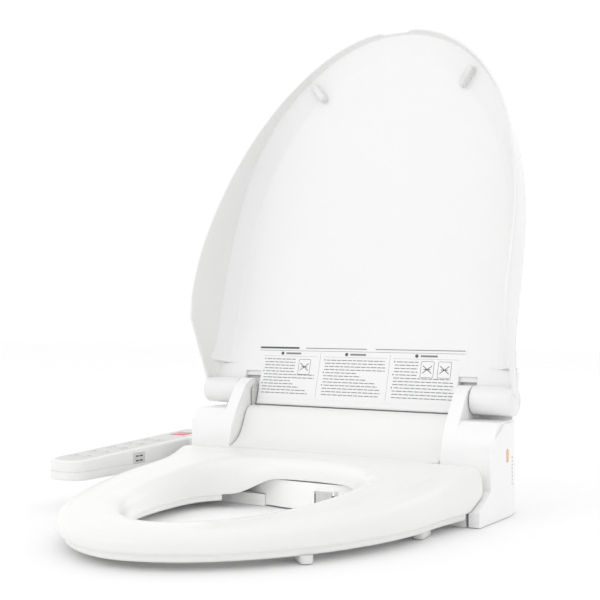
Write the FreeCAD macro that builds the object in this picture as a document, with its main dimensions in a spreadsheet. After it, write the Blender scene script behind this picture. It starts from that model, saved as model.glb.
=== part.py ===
import FreeCAD, Part
import math
import os

# Electric bidet seat: a seat ring and a lid on one hinge line, in front of a housing that holds
# the water heater, the washing nozzle and the warm-air fan, with a control arm on the left.
# Millimetres, +Z up, front of the seat towards -Y. The origin is the midpoint of the two bowl
# bolts on the plane of the toilet rim. The lid is modelled open and the seat lowered.

os.makedirs("parts", exist_ok=True)
Vec = FreeCAD.Vector
X_AXIS = Vec(1, 0, 0)
Y_AXIS = Vec(0, 1, 0)
Z_AXIS = Vec(0, 0, 1)

DIMENSIONS = [
    ("housing_half", 202.6, "half width of the housing cover"),
    ("side_half", 205.2, "half width over the side covers"),
    ("housing_front", -54.0, "front of the housing above the foot"),
    ("foot_front", -87.0, "front of the housing foot"),
    ("housing_rear", 65.0, "rear of the housing"),
    ("wall", 2.5, "wall of the housing mouldings"),
    ("base_thick", 3.0, "thickness of the base plate"),
    ("fin_inner", 141.6, "inner face of each hinge fin"),
    ("fin_outer", 157.5, "outer face of each hinge fin"),
    ("pivot_y", 12.0, "hinge line, back from the bolts"),
    ("pivot_z", 127.5, "hinge line, above the rim plane"),
    ("barrel_radius", 16.6, "outside of the lid's hinge barrels"),
    ("damper_radius", 11.0, "outside of the soft-close dampers"),
    ("pin_radius", 5.0, "hinge pins"),
    ("running_gap", 0.06, "radial clearance of the running fits"),
    ("lid_open_angle", 117.5, "lid travel from closed to open"),
    ("lid_half", 213.0, "half width of the lid"),
    ("lid_tip", -463.0, "front of the closed lid"),
    ("lid_wide", -100.0, "where the closed lid is widest"),
    ("lid_power", 2.15, "exponent of the lid outline"),
    ("lid_wall", 2.6, "wall of the lid"),
    ("panel_half", 136.2, "half width of the lid between the fins"),
    ("seat_half", 191.5, "half width of the seat"),
    ("seat_tip", -456.0, "front of the seat"),
    ("seat_wide", -171.5, "where the seat is widest"),
    ("seat_power", 1.82, "exponent of the seat outline"),
    ("seat_wall", 3.0, "wall of the seat's upper shell"),
    ("seat_edge", 15.5, "lower edge of the seat's upper shell"),
    ("wing_half", 200.0, "half width of the seat at its rear corners"),
    ("seat_rear", -58.5, "rear edge of the seat beside the hump"),
    ("hump_half", 140.5, "half width of the seat between the fins"),
    ("hump_rear", 10.0, "rear of the seat's hinge hump"),
    ("ring_half", 108.0, "half width of the seat opening"),
    ("ring_front", -388.0, "front of the seat opening"),
    ("ring_wide", -175.0, "where the seat opening is widest"),
    ("ring_rear", -92.0, "rear of the seat opening"),
    ("lower_inset", 6.0, "step from the seat edge in to its lower shell"),
    ("lower_bottom", 7.5, "underside of the seat's lower shell"),
    ("arm_outer", -270.0, "outer side of the control arm"),
    ("arm_inner", -218.0, "inner side of the control arm"),
    ("arm_front", -241.0, "front end of the control arm"),
    ("arm_rear", 42.0, "rear end of the control arm"),
    ("arm_bottom", 33.5, "underside of the control arm"),
    ("arm_top_front", 56.5, "top of the control arm at its front end"),
    ("arm_slope", 2.63, "rise of the arm's top towards the rear, degrees"),
    ("arm_split", 44.0, "joint between the arm's two mouldings"),
    ("arm_wall", 2.2, "wall of the arm"),
    ("key_long", 20.0, "length of a key along the arm"),
    ("key_wide", 15.0, "width of a key across the arm"),
    ("key_pitch", 34.0, "spacing of the keys along the arm"),
    ("key_row", 9.6, "distance of each row of keys from the arm's middle"),
    ("key_tall", 3.0, "height of a key"),
    ("key_gap", 0.4, "clearance round a key"),
    ("bolt_spacing", 140.0, "spacing of the bowl bolts"),
    ("bolt_slot", 34.0, "length of each bolt slot"),
    ("bolt_radius", 4.5, "half the width of a bolt slot"),
    ("bracket_long", 236.0, "length of the mounting bracket"),
    ("bracket_wide", 58.0, "width of the mounting bracket"),
    ("bracket_thick", 4.0, "thickness of the mounting bracket"),
    ("nozzle_x", 24.0, "nozzle, right of the middle"),
    ("nozzle_angle", 20.0, "slope of the nozzle, degrees"),
    ("nozzle_radius", 5.0, "nozzle tube"),
    ("nozzle_back", 37.0, "tip of the parked nozzle behind its window"),
    ("nozzle_long", 100.0, "length of the nozzle tube"),
    ("window_y", -96.0, "front of the nozzle window"),
    ("window_z", 11.0, "middle of the nozzle window"),
    ("inlet_radius", 10.4, "outside thread of the water inlet"),
    ("cord_radius", 3.6, "hole of the cord gland"),
]

doc = FreeCAD.newDocument("BidetSeat")
sheet = doc.addObject("Spreadsheet::Sheet", "Dims")


def add_dimension(row, alias, value, meaning):
    """Writes one named size into the sheet."""
    sheet.set("A%d" % row, meaning)
    sheet.set("B%d" % row, str(value))
    sheet.setAlias("B%d" % row, alias)


for number, (alias, value, meaning) in enumerate(DIMENSIONS, 1):
    add_dimension(number, alias, value, meaning)
doc.recompute()

D = {alias: float(sheet.get(alias)) for alias, value, meaning in DIMENSIONS}
PIVOT = Vec(0, D["pivot_y"], D["pivot_z"])
FIT = D["running_gap"]

SUBPARTS = []


def keep(item, label):
    """Marks an object as a sub-part under the name of its file."""
    item.Label = label
    SUBPARTS.append(item)
    return item


def solid_part(label, shape):
    """A sub-part whose shape is built from the sheet's sizes."""
    item = doc.addObject("Part::Feature", label)
    item.Shape = shape
    return keep(item, label)


# ---------------------------------------------------------------- shape helpers


def polygon_face(points):
    """A flat face from corner points."""
    return Part.Face(Part.makePolygon(list(points) + [points[0]]))


def plan_prism(points, low, high):
    """A prism over a plan outline of (x, y) points."""
    face = polygon_face([Vec(x, y, low) for x, y in points])
    return face.extrude(Vec(0, 0, high - low))


def side_prism(points, left, right):
    """A prism across X over a side profile of (y, z) points."""
    face = polygon_face([Vec(left, y, z) for y, z in points])
    return face.extrude(Vec(right - left, 0, 0))


def block(low, high):
    """A box between two corners."""
    size = [b - a for a, b in zip(low, high)]
    return Part.makeBox(size[0], size[1], size[2], Vec(*low))


def rod(radius, start, end):
    """A round bar between two points."""
    axis = Vec(*end) - Vec(*start)
    return Part.makeCylinder(radius, axis.Length, Vec(*start), axis)


def tube(outer, inner, start, end):
    """A round tube between two points."""
    return rod(outer, start, end).cut(rod(inner, start, end))


def rounded(shape, radius, chooser):
    """Rounds the edges that the chooser accepts."""
    edges = [edge for edge in shape.Edges if chooser(edge)]
    return shape.makeFillet(radius, edges) if edges else shape


def upright(edge):
    """True for a straight vertical edge."""
    if edge.Curve.TypeId != "Part::GeomLine":
        return False
    return abs(edge.Curve.Direction.z) > 0.999


def mirror_pair(shape):
    """A shape and its mirror image across the middle plane."""
    return shape.mirror(Vec(0, 0, 0), X_AXIS)


def quarter_curve(half, wide, end, power, steps):
    """Points of a superellipse quarter from its widest point to its end on the middle plane."""
    points = []
    for step in range(steps + 1):
        angle = 0.5 * math.pi * step / steps
        x = half * math.cos(angle) ** (2.0 / power)
        y = wide + (end - wide) * math.sin(angle) ** (2.0 / power)
        points.append((x, y))
    return points


def spline_prism(front, rear, low, high):
    """A prism whose front is one smooth curve, mirrored, and whose rear is straight runs.

    front runs from the widest point on the right to the tip; rear runs from there back to the
    middle, also on the right.
    """
    right = [Vec(x, y, low) for x, y in front]
    left = [Vec(-p.x, p.y, p.z) for p in reversed(right[:-1])]
    curve = Part.BSplineCurve()
    curve.interpolate(right + left)
    corners = [left[-1]] + [Vec(-x, y, low) for x, y in rear]
    corners += [Vec(x, y, low) for x, y in reversed(rear)] + [right[0]]
    edges = [curve.toShape()]
    for start, end in zip(corners, corners[1:]):
        if (end - start).Length > 1e-6:
            edges.append(Part.makeLine(start, end))
    face = Part.Face(Part.Wire(edges))
    return face.extrude(Vec(0, 0, high - low))


# ---------------------------------------------------------------- housing

REACH = 230.0  # wider than the housing, for cuts right across it
FIN_TOP = 16.2  # radius of the fin's round top

# Front face of the shoulders, and the fin's front edge above them, as (y, z).
SHOULDER_FRONT = [(-54, 0), (-54, 40), (-50, 52), (-44, 62), (-39, 85), (-30, 101), (-23, 106)]
FIN_FRONT = [(-44, 62), (-39, 85), (-30, 101.8), (-18.6, 118.6), (-9.5, 131), (-3, 139)]
REAR_TOP = [(33, 106), (35, 133), (38, 136), (48, 136), (65, 122), (65, 0)]
# Deck under the seat's hump, between the fins.
DECK = [(-54, 36), (-30, 48), (-12, 58), (2, 68), (14, 71), (17, 98), (19, 106), (31, 107)]


def housing_plan(grow):
    """Half outline of the housing, from the front corner to the middle of the rear."""
    half = D["housing_half"] + grow
    rear = D["housing_rear"] + min(grow, 0.0)
    return [
        (half, D["housing_front"] - grow),
        (half, -8.0),
        (half - 3.0, 20.0),
        (half - 8.5, 44.0),
        (half - 15.0, 57.0),
        (half - 24.0, rear),
    ]


def housing_block(grow, low, high):
    """A prism over the whole housing outline."""
    right = housing_plan(grow)
    left = [(-x, y) for x, y in reversed(right)]
    return plan_prism(right + left, low, high)


def fin(side):
    """One hinge fin with a round top."""
    left, right = sorted((side * D["fin_inner"], side * D["fin_outer"]))
    body = side_prism(FIN_FRONT + [(12, 139), (12, 100), (-30, 62)], left, right)
    body = body.fuse(rod(FIN_TOP, (left, PIVOT.y, PIVOT.z), (right, PIVOT.y, PIVOT.z)))
    foot = side_prism([(-20, 100), (-20, 118), (28, 118), (28, 100)], left, right)
    hole = rod(D["pin_radius"] + FIT, (left - 1, PIVOT.y, PIVOT.z), (right + 1, PIVOT.y, PIVOT.z))
    return body.fuse(foot).cut(hole)


RELEASE_Y = 4.0
RELEASE_Z = 16.0
RELEASE_LONG = 26.0
RELEASE_TALL = 12.0


def release_box(grow, left, right):
    """The release button's outline, along X."""
    y_half = RELEASE_LONG / 2 + grow
    z_half = RELEASE_TALL / 2 + grow
    low = (left, RELEASE_Y - y_half, RELEASE_Z - z_half)
    return block(low, (right, RELEASE_Y + y_half, RELEASE_Z + z_half))


LEFT_SLANT_LOW = 36.0  # the left front corner is slanted from here up, beside the arm


def corner_slant(low):
    """Cut that slants the right front corner of the housing above a level."""
    return plan_prism([(190, -60), (210, -60), (210, -34), (204, -34)], low, 150)


def housing_cover():
    """The main moulding: shoulders, fins, deck and rear wall, open underneath."""
    bottom = D["base_thick"]
    outer_side = SHOULDER_FRONT + REAR_TOP
    outer = housing_block(0, bottom, 150).common(side_prism(outer_side, -REACH, REACH))
    wall = D["wall"]
    inner_side = [(-51.5, -5), (-51.5, 41), (-47, 54), (-41.5, 63), (-36.5, 84), (-28, 99)]
    inner_side += [(-22, 103.5), (35.5, 103.5), (37.5, 133), (47, 133.5), (62.4, 121), (62.4, -5)]
    inner = housing_block(-wall, -5, 150).common(side_prism(inner_side, -REACH, REACH))
    middle = D["fin_inner"]
    well_side = DECK + [(31, 160), (-90, 160), (-90, 36)]
    well = side_prism(well_side, -middle, middle)
    inner_well_side = [(y, z - wall) for y, z in DECK[:-2]]
    inner_well_side += [(21.5, 103), (38.5, 104), (38.5, 160), (-90, 160), (-90, 33.5)]
    inner_well = side_prism(inner_well_side, -middle - wall, middle + wall)
    shell = outer.cut(well).cut(inner.cut(inner_well))
    shell = shell.cut(corner_slant(79)).cut(mirror_pair(corner_slant(LEFT_SLANT_LOW)))
    for side in (-1, 1):
        shell = shell.fuse(fin(side))
    rear_opening = block((-170, 60, bottom - 1), (170, 70, 100))
    bay_opening = block((-60, -60, bottom - 1), (66, -50, 34))
    arm_opening = block((-REACH, -20, 40), (-195, 26, 62))
    shell = shell.cut(release_box(0.5, -REACH, -190))
    return shell.cut(rear_opening).cut(bay_opening).cut(arm_opening).removeSplitter()


CHEEK = [(-87, 0.5), (-87, 16), (-54, 35), (-54, 79), (-12.4, 104), (34, 104), (34, 0.5)]
VENT_COUNT = 8
VENT_PITCH = 4.2
VENT_LOW = 34.0
VENT_TALL = 2.4
LENS_Y = -5.0
LENS_Z = 68.6
LENS_HALF_TALL = 7.5
LENS_HALF_WIDE = 3.6


def cheek_shell(side):
    """The outer skin of one side of the housing, with its foot."""
    skin = D["side_half"] - D["housing_half"] - 0.1
    outer = housing_block(D["side_half"] - D["housing_half"], 0.5, 110)
    inner = housing_block(D["side_half"] - D["housing_half"] - skin, 0, 111)
    foot_outer = block((193.0, -87, 0.5), (D["side_half"], -54.1, 40))
    foot_inner = block((196.0, -84.5, -1), (D["side_half"] - 2.5, -50, 13))
    slab = outer.cut(inner).fuse(foot_outer.cut(foot_inner))
    slab = slab.common(block((190, -90, 0), (210, 34, 110)))
    slab = slab.common(side_prism(CHEEK, 180, 215))
    return slab if side > 0 else mirror_pair(slab)


def right_cheek():
    """Right side cover with the vents and the lamp window."""
    slab = cheek_shell(1)
    for number in range(VENT_COUNT):
        low = VENT_LOW + number * VENT_PITCH
        slab = slab.cut(block((190, 12.0, low), (215, 17.5, low + VENT_TALL)))
    return slab.cut(lamp_bar(0.15, 190, 215))


def lamp_bar(grow, left, right):
    """The lamp window's upright oblong, along X."""
    low = LENS_Z - LENS_HALF_TALL + LENS_HALF_WIDE
    high = LENS_Z + LENS_HALF_TALL - LENS_HALF_WIDE
    radius = LENS_HALF_WIDE + grow
    bar = rod(radius, (left, LENS_Y, low), (right, LENS_Y, low))
    bar = bar.fuse(rod(radius, (left, LENS_Y, high), (right, LENS_Y, high)))
    return bar.fuse(block((left, LENS_Y - radius, low), (right, LENS_Y + radius, high)))


def left_cheek():
    """Left side cover with openings for the arm and the release button."""
    slab = cheek_shell(-1).cut(release_box(0.3, -215, -190))
    slab = slab.cut(mirror_pair(corner_slant(LEFT_SLANT_LOW)))
    return slab.cut(block((-215, -24.3, 35.7), (-190, 30.3, 66.3)))


def base_plate():
    """Floor of the housing, with the foot at its front and room for the bracket."""
    thick = D["base_thick"]
    half = D["housing_half"] - 0.2
    outline = [(half, D["housing_front"] + 0.2), (half, -8), (half - 3, 20), (half - 8.5, 44)]
    outline += [(half - 15, 57), (half - 24, D["housing_rear"] - 0.3)]
    left = [(-x, y) for x, y in reversed(outline)]
    plate = plan_prism(outline + left, 0, thick - 0.1)
    foot = block((-189.8, D["foot_front"], 0), (189.8, D["housing_front"] - 0.1, 13.5))
    foot = foot.cut(block((-187.3, D["foot_front"] + 2.5, thick), (187.3, -56.5, 11)))
    joint = block((-189.8, -58, 0), (189.8, -50, thick - 0.1))
    plate = plate.fuse(foot).fuse(joint)
    bay = block((-62, -90, -1), (68, -54.2, 20))
    cradle_half = D["bracket_long"] / 2
    cradle = block((-cradle_half - 3, -36, thick - 1), (cradle_half + 3, 36, 26))
    inside = block((-cradle_half - 0.5, -33.5, -1), (cradle_half + 0.5, 33.5, 24))
    plate = plate.cut(bay).fuse(cradle).cut(inside)
    return plate.removeSplitter()


INLET_X = -130.0
GLAND_X = 130.0
REAR_Z = 24.0  # height of the inlet and the gland
INLET_NECK = 9.4
INLET_FLANGE = 3.0
INLET_THREAD = 14.0
SCREW_PLACES = [(-160, 12), (-160, 90), (160, 12), (160, 90)]


def rear_panel():
    """Removable rear panel with holes for the water inlet and the cord."""
    panel = block((-169.6, 62.5, D["base_thick"]), (169.6, 65, 99.6))
    for x, z in SCREW_PLACES:
        panel = panel.cut(rod(1.7, (x, 60, z), (x, 70, z)))
    panel = panel.cut(rod(INLET_NECK + 0.2, (INLET_X, 50, REAR_Z), (INLET_X, 70, REAR_Z)))
    return panel.cut(rod(8.2, (GLAND_X, 50, REAR_Z), (GLAND_X, 70, REAR_Z)))


BAY_FACE = [(-100, -66), (-70, -81), (-35, -90), (8, -93.5), (50, -90), (82, -81), (104, -68)]


def skirt_wall():
    """Thin wall under the bay cover, inside the gap of the foot."""
    outer = [(-58, -85), (-35, -90), (8, -93.5), (50, -90), (64, -85)]
    inner = [(64, -82.5), (50, -87.5), (8, -91), (-35, -87.5), (-58, -82.5)]
    return plan_prism(outer + inner, 1.5, 14.5)


def nozzle_bay_cover():
    """Convex cover round the nozzle window, under the rear of the seat."""
    outer = plan_prism(BAY_FACE + [(104, -54.5), (-100, -54.5)], 14.0, 33.0)
    tight = [(x * 0.97, y + 2.5) for x, y in BAY_FACE]
    inner = plan_prism(tight + [(101, -50), (-97, -50)], 10, 30.8)
    cover = outer.cut(inner)
    nose_left = D["nozzle_x"] - 14
    nose_right = D["nozzle_x"] + 14
    nose_side = [(-96, 1.5), (-96, 25), (-62, 32), (-56, 32), (-56, 1.5)]
    nose = side_prism(nose_side, nose_left, nose_right)
    slope = math.tan(math.radians(D["nozzle_angle"]))
    height = D["window_z"]
    way_side = [(-99, height - 7.2 - 3 * slope), (-99, height + 7 - 3 * slope)]
    way_side += [(-50, height + 7 + 46 * slope), (-50, height - 7.2 + 46 * slope)]
    way = side_prism(way_side, nose_left + 4, nose_right - 4)
    hinge_lugs = block((nose_left, -99.4, 21.5), (nose_left + 2.2, -95, 25))
    hinge_lugs = hinge_lugs.fuse(block((nose_right - 2.2, -99.4, 21.5), (nose_right, -95, 25)))
    pin_hole = rod(0.85, (nose_left - 1, -97.6, 23.5), (nose_right + 1, -97.6, 23.5))
    cover = cover.fuse(skirt_wall()).fuse(nose).cut(way).fuse(hinge_lugs)
    return cover.cut(pin_hole).removeSplitter()


solid_part("base_plate", base_plate())
solid_part("housing_cover", housing_cover())
solid_part("right_side_cover", right_cheek())
solid_part("left_side_cover", left_cheek())
solid_part("rear_panel", rear_panel())
solid_part("nozzle_bay_cover", nozzle_bay_cover())
solid_part("lamp_lens", lamp_bar(0, D["housing_half"] + 0.05, D["side_half"] + 0.3))
solid_part("release_button", release_box(0, -206.6, -196.0))


# ---------------------------------------------------------------- mounting bracket


def origin_plane(body, role):
    """One of a body's own origin planes."""
    for item in body.Origin.OriginFeatures:
        if item.Role == role:
            return item
    raise ValueError(role)


def mounting_bracket():
    """Flat plate with a slot for each bowl bolt."""
    body = doc.addObject("PartDesign::Body", "BracketBody")
    plate_sketch = body.newObject("Sketcher::SketchObject", "BracketOutline")
    plate_sketch.AttachmentSupport = (origin_plane(body, "XY_Plane"), [""])
    plate_sketch.MapMode = "FlatFace"
    half_long = D["bracket_long"] / 2
    half_wide = D["bracket_wide"] / 2
    corners = [(-half_long, -half_wide), (half_long, -half_wide)]
    corners += [(half_long, half_wide), (-half_long, half_wide)]
    for start, end in zip(corners, corners[1:] + corners[:1]):
        line = Part.LineSegment(Vec(start[0], start[1], 0), Vec(end[0], end[1], 0))
        plate_sketch.addGeometry(line, False)
    pad = body.newObject("PartDesign::Pad", "BracketPad")
    pad.Profile = plate_sketch
    pad.setExpression("Length", "Dims.bracket_thick")
    doc.recompute()
    slot_sketch = body.newObject("Sketcher::SketchObject", "BracketSlots")
    slot_sketch.AttachmentSupport = (origin_plane(body, "XY_Plane"), [""])
    slot_sketch.MapMode = "FlatFace"
    radius = D["bolt_radius"]
    run = D["bolt_slot"] / 2 - radius
    for side in (-1, 1):
        centre = side * D["bolt_spacing"] / 2
        for edge in (-1, 1):
            y = edge * radius
            line = Part.LineSegment(Vec(centre - run, y, 0), Vec(centre + run, y, 0))
            slot_sketch.addGeometry(line, False)
            end = Vec(centre + edge * run, 0, 0)
            turn = -math.pi / 2 if edge > 0 else math.pi / 2
            arc = Part.ArcOfCircle(Part.Circle(end, Z_AXIS, radius), turn, turn + math.pi)
            slot_sketch.addGeometry(arc, False)
    pocket = body.newObject("PartDesign::Pocket", "BracketPocket")
    pocket.Profile = slot_sketch
    pocket.Type = 1
    pocket.Midplane = True
    doc.recompute()
    full = D["bracket_long"] * D["bracket_wide"] * D["bracket_thick"]
    if body.Shape.Volume > full - 1.0:
        raise RuntimeError("the bracket's slots are not cut")
    return keep(body, "mounting_bracket")


mounting_bracket()


# ---------------------------------------------------------------- hinge

EAR_INNER = 137.0
EAR_RADIUS = 12.0
PIN_END = 197.0


def hinge_pin(label, side):
    """A hinge pin through the seat's ear and the fin into the lid's barrel."""
    pin = doc.addObject("Part::Cylinder", label)
    pin.setExpression("Radius", "Dims.pin_radius")
    pin.Height = PIN_END - EAR_INNER - 0.4
    start = side * (EAR_INNER + 0.4)
    turn = FreeCAD.Rotation(Z_AXIS, Vec(side, 0, 0))
    pin.Placement = FreeCAD.Placement(Vec(start, PIVOT.y, PIVOT.z), turn)
    return keep(pin, label)


def damper(label, side, end):
    """A soft-close damper round the pin, inside the lid's barrel."""
    start = side * (D["fin_outer"] + 0.6)
    shape = tube(D["damper_radius"], D["pin_radius"] + FIT,
                 (start, PIVOT.y, PIVOT.z), (side * end, PIVOT.y, PIVOT.z))
    return solid_part(label, shape)


hinge_pin("lid_hinge_pin", 1)
hinge_pin("seat_hinge_pin", -1)
damper("lid_damper", 1, 194.0)
damper("seat_damper", -1, 194.0)


# ---------------------------------------------------------------- seat

# Top line of the seat from the tip to the rear of the hump, as (y, z).
SEAT_TOP = [(-457, 22), (-452, 28), (-443, 32), (-425, 34.8), (-350, 38.5), (-265, 43.5)]
SEAT_TOP += [(-165, 52), (-90, 59), (-60, 61.5), (-44.3, 62), (-24.1, 74), (-12.7, 93)]
SEAT_TOP += [(-8.5, 102), (-4, 107), (4, 110), (10, 110)]


WING_CORNER = -66.0
# Room under each wing for the slope of the housing's foot, as (y, z).
OVER_FOOT = [(-91, 0), (-91, 16.2), (-50, 39.8), (-50, 0)]
OVER_FOOT_FROM = 186.5


def seat_prism(shrink, low, high):
    """A prism over the seat's outline, smaller all round by one distance."""
    front = quarter_curve(D["seat_half"] - shrink, D["seat_wide"], D["seat_tip"] + shrink,
                          D["seat_power"], 14)
    rear = [(D["wing_half"] - shrink, WING_CORNER)]
    rear += [(D["wing_half"] - 6.0 - shrink, D["seat_rear"] - shrink)]
    rear += [(D["hump_half"] - shrink, D["seat_rear"] - shrink)]
    rear += [(D["hump_half"] - shrink, D["hump_rear"] - shrink)]
    return spline_prism(front, rear, low, high)


def opening_prism(grow, low, high):
    """A prism over the seat's opening, larger all round by one distance."""
    half = D["ring_half"] + grow
    front = quarter_curve(half, D["ring_wide"], D["ring_front"] - grow, 2.0, 10)
    back = quarter_curve(half, D["ring_wide"], D["ring_rear"] + grow, 2.3, 10)
    right = [Vec(x, y, low) for x, y in reversed(back)] + [Vec(x, y, low) for x, y in front[1:]]
    left = [Vec(-p.x, p.y, p.z) for p in reversed(right[1:-1])]
    curve = Part.BSplineCurve()
    curve.interpolate(Points=right + left, PeriodicFlag=True)
    return Part.Face(Part.Wire([curve.toShape()])).extrude(Vec(0, 0, high - low))


def seat_side(drop, low):
    """A prism across X under the seat's top line, lowered by one distance."""
    points = [(y, z - drop) for y, z in SEAT_TOP]
    return side_prism([(-470, low)] + [(-470, points[0][1])] + points[1:-1]
                      + [(30, points[-1][1]), (30, low)], -REACH, REACH)


# Room left under the hump for the housing's deck, as (y, z).
OVER_DECK = [(-57.5, 0), (-57.5, 40), (-30, 53), (-12, 63), (2, 76), (14, 84), (40, 84), (40, 0)]
NOZZLE_ARCH = (-64.0, 78.0)  # sides of the arch in the seat's rear wall, over the nozzle


def seat_upper_shell():
    """The seat's upper moulding: ring, rear deck and hinge hump, open underneath."""
    edge = D["seat_edge"]
    wall = D["seat_wall"]
    outer = seat_prism(0, edge, 120).common(seat_side(0, 0))
    inner = seat_prism(wall, edge - 5, 120).common(seat_side(wall, 0))
    ring_wall = opening_prism(wall, 0, 120)
    shell = outer.cut(inner.cut(ring_wall)).cut(opening_prism(0, 0, 120))
    arch = block((NOZZLE_ARCH[0], -110, 0), (NOZZLE_ARCH[1], -80, 37))
    over_deck = side_prism(OVER_DECK, -REACH, REACH)
    over_foot = side_prism(OVER_FOOT, OVER_FOOT_FROM, REACH)
    shell = shell.cut(over_foot).cut(mirror_pair(over_foot))
    return shell.cut(arch).cut(over_deck).removeSplitter()


def seat_lower_shell():
    """The tray under the ring, set in from the edge."""
    low = D["lower_bottom"]
    wall = 2.5
    inset = D["lower_inset"]
    rear_cut = block((-REACH, -93, 0), (REACH, 60, 60))
    outer = seat_prism(inset, low, 18).cut(opening_prism(wall + 2.5, 0, 60))
    inner = seat_prism(inset + wall, low + wall, 40).cut(opening_prism(2 * wall + 2.5, 0, 60))
    return outer.cut(inner).cut(rear_cut).removeSplitter()


def seat_heater():
    """Heating sheet under the top of the ring."""
    gap = D["seat_wall"] + 0.3
    sheet_thick = 0.8
    top = seat_side(gap, 0)
    under = seat_side(gap + sheet_thick, 0)
    ring = seat_prism(16, 20, 120).cut(opening_prism(14, 0, 120))
    ring = ring.common(block((-REACH, -440, 0), (REACH, -96, 100)))
    return ring.common(top).cut(under)


BUMPER_PLACES = [(137, -330, -42), (178, -163, -82)]  # x, y and turn of each right-hand bumper


def bumper_block(x, y, turn):
    """One oblong rubber foot under the seat."""
    long = 15.0
    radius = 6.5
    shape = block((-long + radius, -radius, 0), (long - radius, radius, D["lower_bottom"]))
    for end in (-1, 1):
        centre = end * (long - radius)
        shape = shape.fuse(rod(radius, (centre, 0, 0), (centre, 0, D["lower_bottom"])))
    shape.rotate(Vec(0, 0, 0), Z_AXIS, turn)
    shape.translate(Vec(x, y, 0))
    return shape


def seat_bumpers():
    """The four rubber feet of the seat."""
    feet = []
    for x, y, turn in BUMPER_PLACES:
        foot = bumper_block(x, y, turn)
        feet += [foot, mirror_pair(foot)]
    return Part.makeCompound(feet)


def seat_hinge_ears():
    """The two ears that carry the seat on the hinge pins."""
    ears = []
    for side in (-1, 1):
        left, right = sorted((side * EAR_INNER, side * D["hump_half"]))
        ear = rod(EAR_RADIUS, (left, PIVOT.y, PIVOT.z), (right, PIVOT.y, PIVOT.z))
        ear = ear.fuse(side_prism([(0.5, 110), (0.5, 130), (12, 130), (12, 110)], left, right))
        grow = FIT if side > 0 else 0.0
        ear = ear.cut(rod(D["pin_radius"] + grow,
                          (left - 1, PIVOT.y, PIVOT.z), (right + 1, PIVOT.y, PIVOT.z)))
        ears.append(ear.removeSplitter())
    return Part.makeCompound(ears)


solid_part("seat_upper_shell", seat_upper_shell())
solid_part("seat_lower_shell", seat_lower_shell())
solid_part("seat_heater", seat_heater())
solid_part("seat_bumpers", seat_bumpers())
solid_part("seat_hinge_ears", seat_hinge_ears())


# ---------------------------------------------------------------- lid

CLOSED_SLOPE = math.radians(13.0)  # fall of the closed lid from the hinge to its tip


def closed_point(along, under):
    """Turns a distance along the lid and one below its hinge plane into closed (y, z)."""
    y = PIVOT.y - along * math.cos(CLOSED_SLOPE) + under * math.sin(CLOSED_SLOPE)
    z = PIVOT.z - along * math.sin(CLOSED_SLOPE) - under * math.cos(CLOSED_SLOPE)
    return y, z


# Outside of the lid in side view, from the tip to the hinge, as (along, under).
LID_TOP = [(486, -6), (481, -12), (468, -20), (448, -26), (415, -30), (350, -34)]
LID_TOP += [(250, -35), (150, -31), (70, -24), (20, -18.5), (0, -16.6)]
# Rim of the closed lid from the hinge to the tip, as (y, z).
LID_RIM = [(3, 113.5), (-52, 47.5), (-87, 35), (-155, 27.5), (-396, 25), (-464, 21)]


def lid_prism(shrink, low, high):
    """A prism over the closed lid's outline, smaller all round by one distance."""
    front = quarter_curve(D["lid_half"] - shrink, D["lid_wide"], D["lid_tip"] + shrink,
                          D["lid_power"], 14)
    rear = [(D["lid_half"] - 1.2 - shrink, -52), (D["lid_half"] - 4.2 - shrink, 40)]
    return spline_prism(front, rear, low, high)


def lid_front_profile(shrink):
    """A prism along Y that rounds off the lid's long upper edges."""
    half = D["lid_half"] - shrink + 1
    top = 160.0
    slopes = [(half, 0), (half, 92), (half - 4, 106), (half - 14, 120), (half - 32, 131)]
    slopes += [(half - 62, 139), (half - 100, 143.5), (half - 150, top - 13)]
    right = [Vec(x, -500, z - shrink if z > 0 else z) for x, z in slopes]
    left = [Vec(-p.x, p.y, p.z) for p in reversed(right)]
    return polygon_face(right + left).extrude(Vec(0, 560, 0))


def lid_side_points(drop):
    """Side outline of the closed lid above its rim, lowered by one distance."""
    return [closed_point(along - (drop if along > 440 else 0), under + drop)
            for along, under in LID_TOP]


def barrel_arc():
    """Points round the back of the hinge barrel, from its top to its underside."""
    start = math.pi / 2 + CLOSED_SLOPE
    points = []
    for step in range(1, 9):
        angle = start - math.radians(11) - step * (math.pi - math.radians(14)) / 8
        radius = D["barrel_radius"]
        points.append((PIVOT.y + radius * math.cos(angle), PIVOT.z + radius * math.sin(angle)))
    return points


def opened(shape):
    """Turns a shape from the closed to the open position."""
    shape.rotate(PIVOT, X_AXIS, -D["lid_open_angle"])
    return shape


NOTCH_LONG = 22.5  # depth of the notches round the fins
PANEL_LIFT = 3.0  # the lid's inner face lies this far above the hinge line when closed
PANEL_SLOPE = 1.5  # the inner face falls away from the hinge plane, degrees


def lid_local_block(x_low, x_high, along_low, along_high, under_low, under_high):
    """A box laid along the closed lid."""
    points = [closed_point(a, u) for a, u in ((along_low, under_low), (along_high, under_low),
                                              (along_high, under_high), (along_low, under_high))]
    return side_prism(points, x_low, x_high)


PANEL_REAR = -14.5  # rear edge of the lining, along the lid


def sloped(shape):
    """Turns a shape laid on the hinge plane onto the lining's own plane."""
    shape.rotate(Vec(0, *closed_point(PANEL_REAR, -PANEL_LIFT)), X_AXIS, -PANEL_SLOPE)
    return shape


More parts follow.
